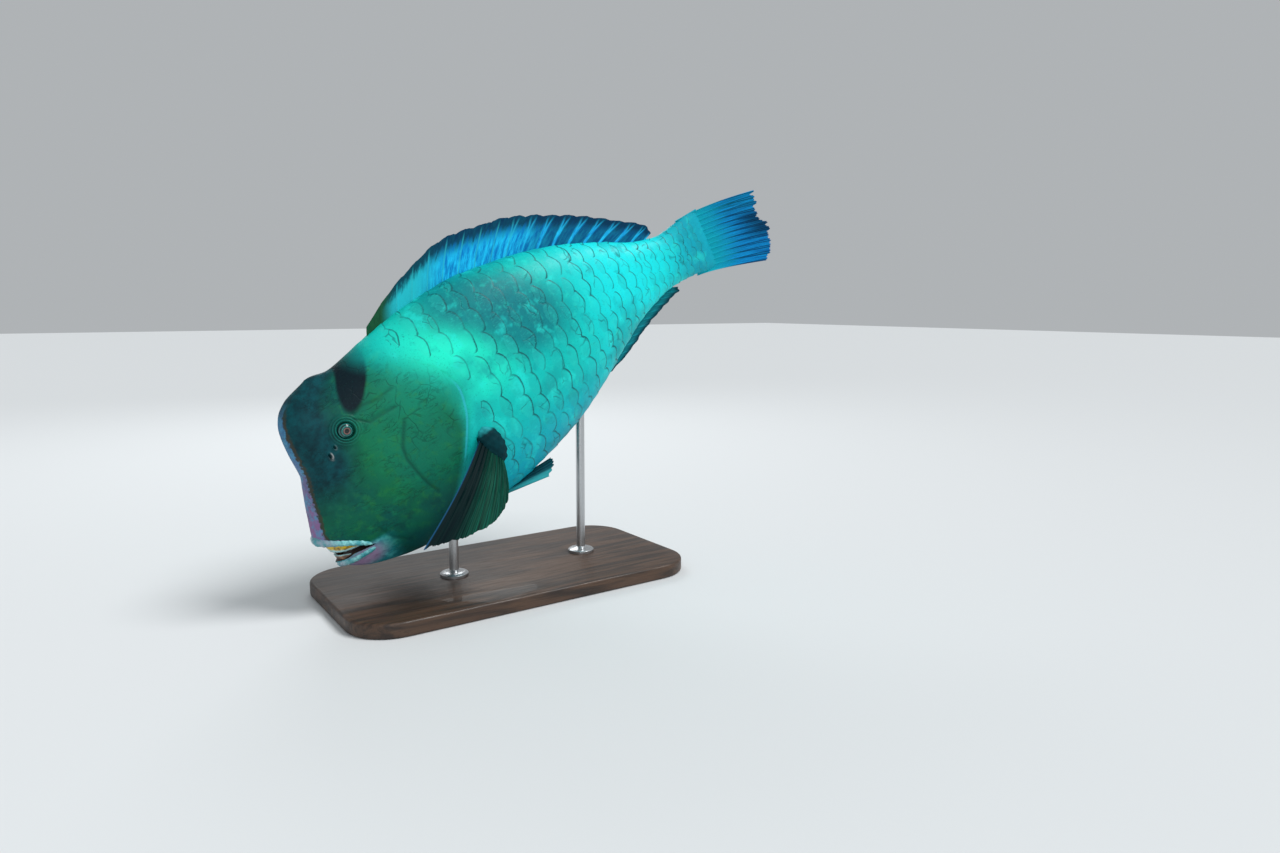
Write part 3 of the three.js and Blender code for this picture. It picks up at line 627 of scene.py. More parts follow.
# Painted shade: the creases and the valleys between the orbit's rings are darkened along with the cracks.
cracks = b.math("MAXIMUM", cracks, b.times(b.value_of("crease_shade"), 0.8))
pores = b.noise(spot, 420.0, 3.0, 0.6)
colour = b.over(drawn["Colour"], (0.001, 0.02, 0.022), cracks, 0.75)
# Painted highlight: pale grey glints on the nostril rims.
colour = b.over(colour, (0.34, 0.36, 0.36), b.value_of("nostril"))
colour = b.over(colour, (0.015, 0.24, 0.20), b.value_of("orbit_ring"), 0.55)
colour = b.over(colour, (0.002, 0.04, 0.045), b.mask(pores, 0.42, 0.30), 0.35)
b.feed(hide.inputs["Base Color"], colour)
b.feed(hide.inputs["Roughness"], b.mask(pores, 0.3, 0.7, 0.45, 0.62))
height = b.math("SUBTRACT", b.times(pores, 0.35), cracks)
height = b.math("ADD", height, b.times(b.noise(spot, 90.0, 3.0), 0.5))
raise_height(b, hide, height, 0.0011, 0.7)
skin.data.materials.append(skin_finish)
inner_mouth, b, inside = finish("inside_of_mouth", 0.45)
flesh = b.noise(fish_place(b), 120.0, 4.0)
b.feed(inside.inputs["Base Color"], b.mix(flesh, (0.012, 0.010, 0.010), (0.07, 0.025, 0.02)))
raise_height(b, inside, flesh, 0.001)
mouth_cutter.materials.append(inner_mouth)
join_solid(skin, opening, "DIFFERENCE")

# Lips: soft pale flesh, rolled from one corner of the mouth round the front to the other.
# They are creased across where they wrap the beak, and are fused into the skin.
LIP_CORNER_X, LIP_CORNER_Z = 68, -101
UPPER_LIP_Z = -57
LOWER_LIP_X, LOWER_LIP_Z = 15, -111


def lip_roll(name, line, radius, share):
    piece, along, around = blank_sheet(name, 120, 18)
    side = 2 * along - 1
    middle_x, middle_z = line(np.abs(side))
    reach = np.maximum(middle_x, slanted(0.0, middle_z) + 0.4)
    middle_y = -np.sign(side) * np.maximum(0.0, flank_y(reach, middle_z) - radius * share)
    wrinkle = 1 + 0.05 * np.sin(side * 61.0) + 0.04 * np.sin(side * 97.0 + 1.0)
    end_round = np.sqrt(np.clip(1 - np.abs(side) ** 24, 0.0, 1.0))
    thick = radius * wrinkle * (1 - 0.18 * np.abs(side) ** 3) * end_round
    outward = np.stack([-np.cos(side * 1.15), -np.sin(side * 1.15), np.zeros(len(side))], -1)
    angle = 2 * math.pi * around
    across = outward * (thick * np.cos(angle))[:, None]
    points = np.stack([middle_x, middle_y, middle_z + thick * 0.92 * np.sin(angle)], -1) + across
    put(piece, points)
    close_up(piece)
    return piece


def upper_lip_line(side):
    z = UPPER_LIP_Z + (LIP_CORNER_Z - UPPER_LIP_Z) * side
    x = (slanted(0.0, z) + 5) * (1 - side**1.15) + LIP_CORNER_X * side**1.15
    return x, z + 5 * np.sin(side * math.pi)


def lower_lip_line(side):
    return LOWER_LIP_X * (1 - side**1.15) + LIP_CORNER_X * side**1.15, LOWER_LIP_Z + side


lip_finish, b, lip_shader = finish("lip_flesh", 0.38, coat=0.3, coat_roughness=0.15)
spot = fish_place(b)
mottle = b.noise(spot, 55.0, 4.0, 0.65)
lip_tint = b.mix(b.mask(mottle, 0.40, 0.62), (0.04, 0.32, 0.36), (0.26, 0.66, 0.66))
front_pink = b.mask(b.parts_of(spot)["X"], 0.030, 0.008)
lip_tint = b.over(lip_tint, (0.30, 0.16, 0.30), front_pink, b.mask(mottle, 0.35, 0.6), 0.6)
b.feed(lip_shader.inputs["Base Color"], lip_tint)
raise_height(b, lip_shader, b.noise(b.stretched(spot, (1.0, 1.0, 0.25)), 260.0, 3.0), 0.0008, 0.6)
for name, line, radius, share in (
    ("upper_lip", upper_lip_line, 8.8, 0.55), ("lower_lip", lower_lip_line, 6.6, 0.5),
):
    roll = lip_roll(name, line, radius, share)
    roll.data.materials.append(lip_finish)
    join_solid(skin, roll, "UNION")
pick_only(skin)
bpy.ops.object.shade_smooth_by_angle(angle=math.radians(50))
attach(skin, "root")
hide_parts("head", "lower_jaw", "trunk", "tail_stalk")

# Scales: large thin bony plates rooted in the skin, in staggered rows behind the gill cover and over the
# nape. Each is tucked under the one ahead with its rounded hind edge free. They shrink towards the tail.
SCALES_FROM, SCALES_TO = 150.0, 874
FOREMOST_SCALE_X = 176
SCALE_WIDE = 1.32
HIND_LONG, ROOT_LONG = 0.60, 0.86
SEGMENTS = 22
RING_REACH = (0.4, 0.7, 0.88, 0.96, 1.0)
UNDERSIDE, ROOT = -1.0, -2.0
scale_pitch = smooth_through([(150, 24), (300, 31), (500, 31), (700, 23), (872, 15)])
theta = np.linspace(0, 2 * math.pi, SEGMENTS, endpoint=False)
rearward, sideways = np.cos(theta), np.sin(theta)
dice = np.random.default_rng(41)


def scale_spots(pitch, shove):
    # The plate's spots on the spread-out skin: how far back and across, the share of its reach, and the turn.
    grow = dice.uniform(0.97, 1.08)
    soft = dice.uniform(3.5, 7.0)
    slants = np.abs(0.866 * rearward + 0.5 * sideways) ** soft
    slants = slants + np.abs(0.866 * rearward - 0.5 * sideways) ** soft
    six_sided = (slants + np.abs(sideways) ** soft) ** (-1 / soft)
    long = np.where(rearward > 0, HIND_LONG, ROOT_LONG)
    along = rearward * six_sided * long * pitch * grow - 0.05 * pitch + shove
    wide = sideways * six_sided * pitch * SCALE_WIDE * 0.66
    wobble = 1 + 0.05 * np.sin(2 * theta + dice.uniform(0, 6))
    wobble = wobble + 0.035 * np.sin(5 * theta + dice.uniform(0, 6))
    spots = [(0.0, 0.0, 0.0, 0.0)]
    for reach, drawn_in in [*zip(RING_REACH, RING_REACH), (UNDERSIDE, 0.97)]:
        ring_spots = (along * drawn_in * wobble, wide * drawn_in * wobble, np.full(SEGMENTS, reach), theta)
        spots += np.stack(ring_spots, -1).tolist()
    return np.array(spots + [(0.0, 0.0, ROOT, 0.0)])


def scale_lift(back, across, reach, pitch):
    # How far the plate stands out of the skin: sunk at its root, proud at its hind edge, with a thin rim.
    t = np.clip((back / pitch + 0.9) / 1.5, 0, 1)
    lift = -COAT_DEPTH - 1.0 + 2.3 * t**1.2
    lift = lift - np.where(reach > 0, 0.35 * np.maximum(0, reach - 0.88) / 0.12, 0.0)
    lift = lift - 0.5 * (across / (pitch * 0.74)) ** 2
    lift = np.where(reach == UNDERSIDE, lift - 0.75, lift)
    return np.where(reach == ROOT, lift - 2.2, lift)


def plate_faces(start):
    last = len(RING_REACH)
    for k in range(SEGMENTS):
        n = (k + 1) % SEGMENTS
        yield start, start + 1 + k, start + 1 + n
        for r in range(last):
            p = start + 1 + r * SEGMENTS
            q = p + SEGMENTS
            yield p + k, q + k, q + n, p + n
        bottom = start + 1 + last * SEGMENTS
        yield bottom + k, bottom + SEGMENTS, bottom + n


scale_points, scale_faces, scale_rim_shade, scale_tone, scale_patch = [], [], [], [], []
fine_turn = np.linspace(-math.pi / 2, 1.5 * math.pi, 721)
column_at, column = SCALES_FROM, 0
while column_at < SCALES_TO:
    pitch = float(scale_pitch(column_at))
    hoop = skin_point(np.full(len(fine_turn), column_at), fine_turn)
    run = np.concatenate([[0.0], np.cumsum(np.linalg.norm(np.diff(hoop, axis=0), axis=1))])
    girth = run[-1]
    around_count = max(10, int(round(girth / (pitch * SCALE_WIDE))))
    for i in range(around_count):
        at_run = (i + 0.5 * (column % 2) + dice.uniform(-0.12, 0.12)) / around_count * girth
        shove = dice.uniform(-0.10, 0.10) * pitch
        middle_turn = float(np.interp(at_run % girth, run, fine_turn))
        root = skin_point(np.array([column_at]), np.array([middle_turn]))[0]
        if root[0] - float(gill_edge_x(root[2])) < pitch * 0.62 or root[0] < FOREMOST_SCALE_X:
            continue
        spots = scale_spots(pitch, shove)
        back, across, reach, spin = spots.T
        turn_here = np.interp((at_run + across) % girth, run, fine_turn)
        lift = scale_lift(back, across, reach, pitch)
        scale_faces.extend(plate_faces(len(scale_points)))
        station_here = np.clip(column_at + back, 1, HIDE_END - 1)
        scale_points.extend(skin_point(station_here, turn_here, lift).tolist())
        # How near each spot is to the plate's rim, most at its hind edge, for the painted shade along the
        # margins.
        rear = np.clip(np.cos(spin) * 1.5 + 0.9, 0, 1)
        scale_rim_shade.extend(np.where(reach < 0, 1.0, np.abs(reach) * (0.6 + 0.4 * rear)).tolist())
        scale_tone.extend([float(dice.uniform())] * len(spots))
        patch_u = column_at / HIDE_END + back / (pitch * 600.0)
        patch_v = at_run / girth + across / (pitch * 800.0)
        scale_patch.extend(np.stack([patch_u, patch_v], -1).tolist())
    column_at += pitch
    column += 1
scale_mesh = bpy.data.meshes.new("scales")
scale_mesh.from_pydata(scale_points, [], scale_faces)
scales = bpy.data.objects.new("scales", scale_mesh)
bpy.context.scene.collection.objects.link(scales)
points = np.array(scale_points)
put(scales, points)
note(scales, "edge", scale_rim_shade)
note(scales, "tone", scale_tone)
note(scales, "behind_gill", (points[:, 0] - gill_edge_x(points[:, 2])) / 1000.0)
note(scales, "behind_face", (points[:, 0] - face_x(points[:, 2])) / 1000.0)
bake = scale_mesh.uv_layers.new(name="OFBake")
loop_vertex = np.zeros(len(scale_mesh.loops), int)
scale_mesh.loops.foreach_get("vertex_index", loop_vertex)
bake.data.foreach_set("uv", np.array(scale_patch)[loop_vertex].reshape(-1))
pick_only(scales)
face_outwards()
bpy.ops.object.shade_smooth_by_angle(angle=math.radians(45))
scale_finish, b, plate = finish("scale_plates", specular=0.16, coat=0.06, coat_roughness=0.22)
spot = fish_place(b)
tone = b.value_of("tone")
colour = b.over(marked_with_painted_light(b, spot)["Colour"], (0.004, 0.20, 0.20), b.mask(tone, 0.6, 1.0), 0.2)
colour = b.over(colour, (0.03, 0.78, 0.66), b.mask(tone, 0.4, 0.0), 0.12)
edge = b.waver(b.value_of("edge"), b.noise(spot, 130.0), 0.10)
rim_shade_patches = b.mask(b.noise(spot, 16.0, 2.0), 0.38, 0.62, 0.5, 0.92)
# Painted shade: the plates darken at their rims, most at the hind edge that overlaps the next row, stronger
# in some patches than others.
colour = b.over(colour, (0.001, 0.07, 0.085), b.mask(edge, 0.80, 0.95), rim_shade_patches)
cracks = b.effect(crack_net, {
    "Place": spot, "Bend": 0.04, "Bend Scale": 30.0, "Stretch": (1.1, 0.4, 0.8), "Cell Scale": 36.0,
    "Patch Scale": 22.0, "Patch From": 0.42, "Patch To": 0.62,
})["Cracks"]
colour = b.over(colour, (0.001, 0.09, 0.11), cracks, 0.6)
grain = b.noise(b.stretched(spot, (1.0, 1.0, 4.0)), 160.0, 4.0, 0.6)
colour = b.over(colour, (0.03, 0.75, 0.62), b.mask(grain, 0.5, 0.75), 0.28)
colour = b.over(colour, (0.75, 0.95, 0.92), b.mask(b.noise(spot, 46.0, 2.0), 0.80, 0.84))
b.feed(plate.inputs["Base Color"], colour)
b.feed(plate.inputs["Roughness"], b.mask(grain, 0.3, 0.7, 0.40, 0.58))
raise_height(b, plate, b.math("SUBTRACT", grain, cracks), 0.0008, 0.6)
scale_mesh.materials.append(scale_finish)
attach(scales, "root")

# Beak: each jaw's teeth are fused into one mottled plate with a groove down its middle and a worn pale edge.
# The plates sit in the gums behind the lips.
BEAK_WRAP = 1.25
tooth_plate, b, given, done = new_effect(
    "tooth_plate",
    {"Place": "Vector", "Worn": "Float", "Worn From": "Float", "Dark Stain": "Color", "Light Stain": "Color"},
    {"Colour": "Color", "Grain": "Float"},
)
shade = b.noise(given["Place"], 110.0, 4.0, 0.6)
tint = b.mix(b.mask(shade, 0.36, 0.60), given["Dark Stain"], given["Light Stain"])
worn = b.waver(given["Worn"], shade, 0.35)
worn_to = b.math("ADD", given["Worn From"], 0.16)
b.feed(done["Colour"], b.over(tint, (0.40, 0.68, 0.70), b.mask(worn, given["Worn From"], worn_to)))
b.feed(done["Grain"], b.cells(b.stretched(given["Place"], (1.0, 1.0, 0.55)), 420.0))


def beak(name, node, x, z, depth, half_across, back, arm_drop, way, tip_x, stain, worn_from):
    piece, around, down = blank_sheet(name, 64, 28)
    turn = 2 * around - 1
    inner = down > 0.5
    run = np.where(inner, 2 - 2 * down, 2 * down)
    teeth = 0.5 * np.abs(np.sin(turn * BEAK_WRAP * 14)) * run
    teeth = teeth + 0.35 * np.sin(turn * 34 + run * 21) * np.sin(run * 17)
    across = np.sin(turn * BEAK_WRAP) * (1 - 0.12 * run)
    back_set = back * (1 - np.cos(turn * BEAK_WRAP)) + 1.3 * bump_at(turn, 0.0, 0.045)
    edge = depth * run * (1 - 0.55 * np.abs(turn) ** 2.2) - 0.5 * np.abs(np.sin(turn * 24)) * run**6
    px = x + back_set + tip_x * run
    pz = z - arm_drop * np.abs(turn) ** 1.5 + way * edge
    thin = 7 * (1 - 0.6 * run)
    outside = np.stack([px - teeth * 0.35, across * half_across, pz], -1)
    behind = np.stack([px + thin, across * half_across * 0.86, pz], -1)
    put(piece, np.where(inner[:, None], behind, outside))
    note(piece, "worn", run)
    close_up(piece)
    tooth_finish, b, shader = finish(name + "_tooth", 0.3, coat=0.4)
    tooth = b.effect(tooth_plate, {
        "Place": fish_place(b), "Worn": b.value_of("worn"), "Worn From": worn_from,
        "Dark Stain": stain[0], "Light Stain": stain[1],
    })
    b.feed(shader.inputs["Base Color"], tooth["Colour"])
    raise_height(b, shader, tooth["Grain"], 0.0006, 0.8)
    piece.data.materials.append(tooth_finish)
    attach(piece, "root")
    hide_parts(node)


golden_stain = ((0.22, 0.10, 0.012), (0.78, 0.54, 0.02))
brown_stain = ((0.05, 0.02, 0.010), (0.28, 0.12, 0.04))
beak("beak_above", "upper_beak", 6, -50, 34, 30, 57, 32, -1, 4, golden_stain, 0.77)
beak("beak_below", "lower_beak", 14, -114, 20, 25, 40, 0, 1, -2, brown_stain, 0.84)

# Eyes: glassy balls in raised orbits, a dark pupil in a rosy iris with thin teal rings round it.
# The pupil is a shallow cup and the iris a low dish, cut into the ball's outer end.
eye_finish, b, gloss = finish("eye_glass", 0.2, coat=0.25, coat_roughness=0.06)
from_pupil = b.value_of("from_pupil")
rays = b.noise(fish_place(b), 700.0, 3.0, 0.6)
tint = b.mix(b.mask(from_pupil, 0.0034, 0.0039), (0.001, 0.002, 0.003), (0.20, 0.085, 0.07))
for ring_in, ring_out, ring_tint in (
    (0.0046, 0.0053, b.mix(rays, (0.001, 0.02, 0.022), (0.01, 0.11, 0.10))),
    (0.0068, 0.0074, (0.015, 0.22, 0.19)),
    (0.0078, 0.0084, (0.001, 0.022, 0.024)),
    (0.0098, 0.0104, (0.010, 0.16, 0.14)),
    (0.0110, 0.0116, (0.001, 0.02, 0.02)),
):
    tint = b.over(tint, ring_tint, b.mask(from_pupil, ring_in, ring_out))
b.feed(gloss.inputs["Base Color"], tint)
eye_out = float(flank_y(EYE_X, EYE_Z)) - 4.0
for side, name, node in ((-1, "eyeball_left", "eye_left"), (1, "eyeball_right", "eye_right")):
    piece, around, over = blank_sheet(name, 64, 48)
    polar = over * math.pi
    away = EYE_RADIUS * np.sin(polar)
    front = polar < math.pi / 2
    dish = 0.5 * bump_at(away, 7.3, 0.7) - 0.6 * ramp(6.8, 5.8, away) - 1.0 * ramp(4.0, 3.2, away)
    out = EYE_RADIUS * np.cos(polar) * 0.8 + np.where(front, dish, 0.0)
    spin = 2 * math.pi * around
    points = [EYE_X + away * np.cos(spin), side * (eye_out + out), EYE_Z + away * np.sin(spin)]
    put(piece, np.stack(points, -1))
    note(piece, "from_pupil", np.where(front, away, EYE_RADIUS) / 1000.0)
    close_up(piece)
    piece.data.materials.append(eye_finish)
    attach(piece, "root")
    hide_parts(node)

# Fins: thin skin stretched between bony rays, rooted in the body's edge. The rays are thick at the root,
# taper outwards and fork towards the margin. Each fin is a sheet thickened from its middle, most at its rays.
fin_streaks, b, given, done = new_effect(
    "fin_streaks", {"Across": "Float", "Along": "Float"}, {"Streak": "Float"}
)
lengthened = b.feed_all(b.add("ShaderNodeCombineXYZ"), {
    "X": b.times(given["Across"], 60.0), "Y": b.times(given["Along"], 1.6),
})["Vector"]
b.feed(done["Streak"], b.noise(lengthened, 1.6, 4.0, 0.65))


def fin(name, node, rays, per_ray, along_count, point_at, thick, margin, forks, web_finish):
    piece, u, v = blank_sheet(name, (rays - 1) * per_ray, along_count)
    t = u * (rays - 1)
    off = np.abs(t - np.round(t))
    fork_from_u, fork_from_v = forks
    spread = 0.15 * ramp(fork_from_v, 1.0, v) * (u > fork_from_u)
    ray = bump_at(off, spread, 0.075 + 0.02 * v)
    put(piece, point_at(u, v * (1 - margin(u, off) * ramp(0.55, 1.0, v))))
    note(piece, "ray", ray)
    note(piece, "across", u)
    note(piece, "along", v)
    group = piece.vertex_groups.new(name="rays")
    weight = np.clip(0.10 + 0.9 * ray * (1 - 0.75 * v), 0, 1) * (1 - 0.35 * v)
    for i, w in enumerate(weight):
        group.add((i,), float(w), "REPLACE")
    wall = piece.modifiers.new("wall", "SOLIDIFY")
    wall.thickness = thick / 1000.0
    wall.offset = 0.0
    wall.vertex_group = "rays"
    wall.thickness_vertex_group = 0.12
    apply_all(piece)
    face_outwards()
    bpy.ops.object.shade_smooth_by_angle(angle=math.radians(60))
    piece.vertex_groups.clear()
    piece.data.materials.append(web_finish)
    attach(piece, "root")
    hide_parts(node)


def fin_finish(name, paint):
    made, b, shader = finish(name, 0.55, specular=0.06)
    ray, across, along = b.value_of("ray"), b.value_of("across"), b.value_of("along")
    streak = b.effect(fin_streaks, {"Across": across, "Along": along})["Streak"]
    b.feed(shader.inputs["Base Color"], paint(b, ray, across, along, streak))
    raise_height(b, shader, b.math("ADD", streak, b.times(ray, 0.6)), 0.0008, 0.6)
    return made


def ragged(depth, seed, scallop=0.55):
    # How much of a ray's length is lost at its tip: scallops between the rays, small nicks and long bites.
    draw = np.random.default_rng(seed)
    nicks, bites = draw.uniform(0, 1, 160), draw.uniform(0, 1, 24)

    def wear(u, cuts):
        return np.interp(u * (len(cuts) - 1), np.arange(len(cuts)), cuts)

    def margin(u, off):
        worn = 0.4 * wear(u, nicks) + 0.6 * wear(u, bites)
        return depth * (scallop * (off * 2) ** 1.5 + (1 - scallop) * worn)

    return margin


def paint_dorsal(b, ray, across, along, streak):
    web = b.mix(b.mask(streak, 0.35, 0.65), (0.003, 0.20, 0.55), (0.015, 0.58, 0.95))
    web = b.over(web, (0.02, 0.50, 0.58), b.mask(across, 0.30, 0.16))
    web = b.over(web, (0.002, 0.022, 0.05), b.mask(b.waver(along, streak, 0.7), 0.50, 0.86), 0.92)
    web = b.over(web, (0.01, 0.38, 0.40), b.mask(along, 0.12, 0.0), 0.7)
    pale = b.mix(b.mask(across, 0.45, 0.60), (0.03, 0.45, 0.50), (0.02, 0.50, 0.85))
    web = b.over(web, pale, b.mask(ray, 0.55, 0.9), b.mask(along, 1.0, 0.75), 0.6)
    web = b.over(web, (0.002, 0.035, 0.09), b.mask(ray, 0.42, 0.10), b.mask(across, 0.5, 0.66), 0.75)
    olive = b.mix(streak, (0.003, 0.03, 0.02), (0.02, 0.13, 0.05))
    return b.over(web, olive, b.mask(across, 0.115, 0.05))


def paint_caudal(b, ray, across, along, streak):
    web = b.mix(b.mask(streak, 0.35, 0.65), (0.003, 0.15, 0.45), (0.006, 0.36, 0.80))
    web = b.over(web, (0.001, 0.03, 0.075), b.mask(ray, 0.30, 0.75), 0.8)
    web = b.over(web, (0.003, 0.16, 0.24), b.mask(across, 0.70, 0.9), b.mask(streak, 0.62, 0.42), 0.7)
    web = b.over(web, (0.005, 0.42, 0.52), b.mask(b.waver(along, streak, 0.8), 0.66, 0.22))
    centre = b.times(b.mask(across, 0.25, 0.45), b.mask(across, 0.85, 0.62))
    return b.over(web, (0.001, 0.02, 0.055), b.mask(along, 0.55, 0.95), centre, 0.8)


def paint_anal(b, ray, across, along, streak):
    web = b.mix(streak, (0.003, 0.11, 0.14), (0.004, 0.26, 0.30))
    web = b.over(web, (0.004, 0.30, 0.36), b.mask(ray, 0.4, 0.9))
    return b.over(web, (0.001, 0.02, 0.04), b.mask(along, 0.6, 0.95), 0.85)


# The side fins are painted near black: painted shade on the face turned from the high light, over a dark
# green web with streaks and paler rays, darkest towards the leading edge, which is bluish.
def paint_shaded_pectoral(b, ray, across, along, streak):
    web = b.mix(b.mask(streak, 0.35, 0.65), (0.001, 0.014, 0.012), (0.004, 0.075, 0.045))
    web = b.over(web, (0.005, 0.10, 0.07), b.mask(ray, 0.35, 0.9), 0.6)
    web = b.over(web, (0.001, 0.007, 0.010), b.mask(across, 0.42, 0.16), 0.92)
    return b.over(web, (0.01, 0.07, 0.16), b.mask(across, 0.016, 0.006))


def paint_pelvic(b, ray, across, along, streak):
    web = b.mix(b.mask(streak, 0.35, 0.65), (0.001, 0.02, 0.03), (0.003, 0.06, 0.09))
    web = b.over(web, (0.01, 0.16, 0.18), b.mask(ray, 0.4, 0.9), 0.6)
    return b.over(web, b.mix(streak, (0.01, 0.20, 0.24), (0.05, 0.42, 0.44)), b.mask(across, 0.62, 0.8))


FIN_SUNK = 7.0


def edge_fin_point(start, end, lean, heights, edge_z, side):
    # Lean is how far a ray goes back for each millimetre it rises: at the front, and added towards the rear.
    height = smooth_through(heights)

    def at(u, v):
        root_x = start + (end - start) * u
        out = height(u) * v - FIN_SUNK * (1 - v)
        curl = 0.10 * out * v
        x = root_x + (lean[0] + lean[1] * u + lean[2] * u**3) * out + curl
        z = edge_z(root_x) + side * out + (edge_z(x) - edge_z(root_x)) * 0.6
        return np.stack([x, tail_swing(x) + 1.2 * np.sin(u * 40.0) * v, z], -1)

    return at


dorsal_at = edge_fin_point(240, 788, (0.5, 0.5, 1.2), [
    (0, 10), (0.06, 26), (0.15, 46), (0.28, 62), (0.42, 62), (0.6, 50), (0.8, 36), (0.94, 21), (1, 7),
], back_z, 1)
fin("dorsal", "dorsal_fin", 19, 12, 26, dorsal_at, 5.0, ragged(0.09, 3, 0.4), (0.47, 0.35),
    fin_finish("dorsal_web", paint_dorsal))
anal_at = edge_fin_point(590, 798, (2.1, 0, 0), [
    (0, 6), (0.2, 15), (0.6, 17), (0.9, 14), (1, 6),
], belly_z, -1)
fin("anal", "anal_fin", 12, 12, 18, anal_at, 4.6, ragged(0.08, 4), (0.25, 0.4),
    fin_finish("anal_web", paint_anal))

CAUDAL_ROOT_X, CAUDAL_LONG, CAUDAL_DROOP = 868, 162.0, 30.0
CAUDAL_ROOT_HALF, CAUDAL_TIP_HALF = 58, 66
caudal_wear = smooth_through([
    (0, 1), (0.1, 0.97), (0.25, 0.9), (0.4, 0.93), (0.55, 0.97), (0.75, 0.95), (0.9, 0.95), (1, 0.86),
])


def caudal_at(u, v):
    lift = 2 * u - 1
    reach = CAUDAL_LONG * caudal_wear(1 - u) * v
    half = CAUDAL_ROOT_HALF + (CAUDAL_TIP_HALF - CAUDAL_ROOT_HALF) * np.sin(v * math.pi / 2) + 4 * v * v
    x = CAUDAL_ROOT_X - 10 * lift**2 + reach
    ripple = 2.0 * np.sin(u * 23.0) * v**2
    return np.stack([x, tail_swing(x) + ripple, lift * half - CAUDAL_DROOP * v**1.4], -1)


fin("caudal", "caudal_fin", 13, 14, 40, caudal_at, 6.0, ragged(0.11, 5, 0.22), (0.0, 0.3),
    fin_finish("caudal_web", paint_caudal))

PECTORAL_TIPS = np.array([
    (98, -172, -104), (126, -178, -114), (150, -180, -123), (172, -179, -131), (208, -172, -139),
    (236, -160, -138), (256, -148, -132), (272, -134, -120),
], float)
PECTORAL_ROOT_X, PECTORAL_ROOT_TOP, PECTORAL_ROOT_FOOT = 306, -40, -97
PELVIC_ROOT_X, PELVIC_ROOT_LONG, PELVIC_LONG = 268, 34, 118


def tip_curve(share):
    # A smooth curve through the ray tips.
    tips = PECTORAL_TIPS
    position = np.clip(share, 0, 1) * (len(tips) - 1)
    i = np.clip(position.astype(int), 0, len(tips) - 2)
    t = (position - i)[:, None]
    padded = np.vstack([2 * tips[0] - tips[1], tips, 2 * tips[-1] - tips[-2]])
    before, here, there, after = padded[i], padded[i + 1], padded[i + 2], padded[i + 3]
    bend = (2 * before - 5 * here + 4 * there - after) * t**2
    twist = (3 * here - before - 3 * there + after) * t**3
    return 0.5 * (2 * here + (there - before) * t + bend + twist)


def pectoral_for(side):
    def at(u, v):
        root_z = PECTORAL_ROOT_TOP + (PECTORAL_ROOT_FOOT - PECTORAL_ROOT_TOP) * u
        root_x = PECTORAL_ROOT_X + 10 * np.sin(u * math.pi)
        root = np.stack([root_x, -flank_y(root_x, root_z) + 14, root_z], -1)
        point = root + (tip_curve(u) - root) * v[:, None]
        bulge = np.sin(v * math.pi) * (16 - 8 * u) + 1.2 * np.sin(u * 55.0) * v
        point = point + bulge[:, None] * np.array([0.35, -0.8, 0.1])
        point[:, 1] *= -side
        return point

    return at


def pelvic_for(side):
    def at(u, v):
        root_x = PELVIC_ROOT_X + PELVIC_ROOT_LONG * (1 - u)
        root = np.stack([root_x, -17 - 6 * u, belly_z(root_x) + 12], -1)
        tip_x = root_x + PELVIC_LONG * (0.78 + 0.22 * np.sin(u * math.pi * 0.6 + 0.5))
        tip = np.stack([tip_x, -(12 + 24 * u), belly_z(tip_x) - 8 - 12 * u], -1)
        point = root + (tip - root) * v[:, None]
        point[:, 1] *= -side
        return point

    return at


shaded_pectoral_web = fin_finish("shaded_pectoral_web", paint_shaded_pectoral)
pelvic_web = fin_finish("pelvic_web", paint_pelvic)
for side, word in ((-1, "left"), (1, "right")):
    fin("pectoral_" + word, "pectoral_fin_" + word, 13, 12, 44, pectoral_for(side), 5.5,
        ragged(0.04, 6, 0.25), (0.0, 0.2), shaded_pectoral_web)
    fin("pelvic_" + word, "pelvic_fin_" + word, 6, 16, 30, pelvic_for(side), 5.0,
        ragged(0.05, 7), (0.0, 0.3), pelvic_web)

# Pectoral roots: the fleshy lobes that carry the side fins' rays, dark, and pale cyan round the top.
# Each is a furrowed ball set half into the flank behind the gill cover.
LOBE_X, LOBE_Z, LOBE_OUT = 299.0, -68.5, 2
LOBE_LONG, LOBE_WIDE, LOBE_HIGH = 22, 15.5, 35
lobe_finish, b, lobe_shader = finish("pectoral_root", 0.55, specular=0.06)
spot = fish_place(b)
wave = b.waver(b.value_of("up_lobe"), b.noise(spot, 60.0, 3.0), 0.16)
tint = b.mix(b.noise(spot, 90.0, 4.0), (0.001, 0.012, 0.018), (0.002, 0.05, 0.06))
b.feed(lobe_shader.inputs["Base Color"], b.over(tint, (0.03, 0.42, 0.45), b.mask(wave, 0.86, 0.97), 0.75))
raise_height(b, lobe_shader, wave, 0.002, 0.5)
lobe_middle_y = float(flank_y(PECTORAL_ROOT_X, LOBE_Z)) + LOBE_OUT
for side, word in ((-1, "left"), (1, "right")):
    piece, around, over = blank_sheet("pectoral_root_" + word, 48, 36)
    polar, spin = over * math.pi, 2 * math.pi * around
    ball = np.stack([
        LOBE_LONG * np.sin(polar) * np.cos(spin),
        LOBE_WIDE * np.sin(polar) * np.sin(spin),
        LOBE_HIGH * np.cos(polar),
    ], -1)
    furrow = 1 - 0.03 * np.sin(ball[:, 2] * 0.5) - 0.02 * np.sin(ball[:, 0] * 0.6 + ball[:, 2] * 0.3)
    points = ball * furrow[:, None] + np.array([LOBE_X, 0.0, LOBE_Z])
    points[:, 1] = side * (lobe_middle_y + points[:, 1])
    put(piece, points)
    note(piece, "up_lobe", (np.cos(polar) + 1) / 2)
    close_up(piece)
    piece.data.materials.append(lobe_finish)
    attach(piece, "root")

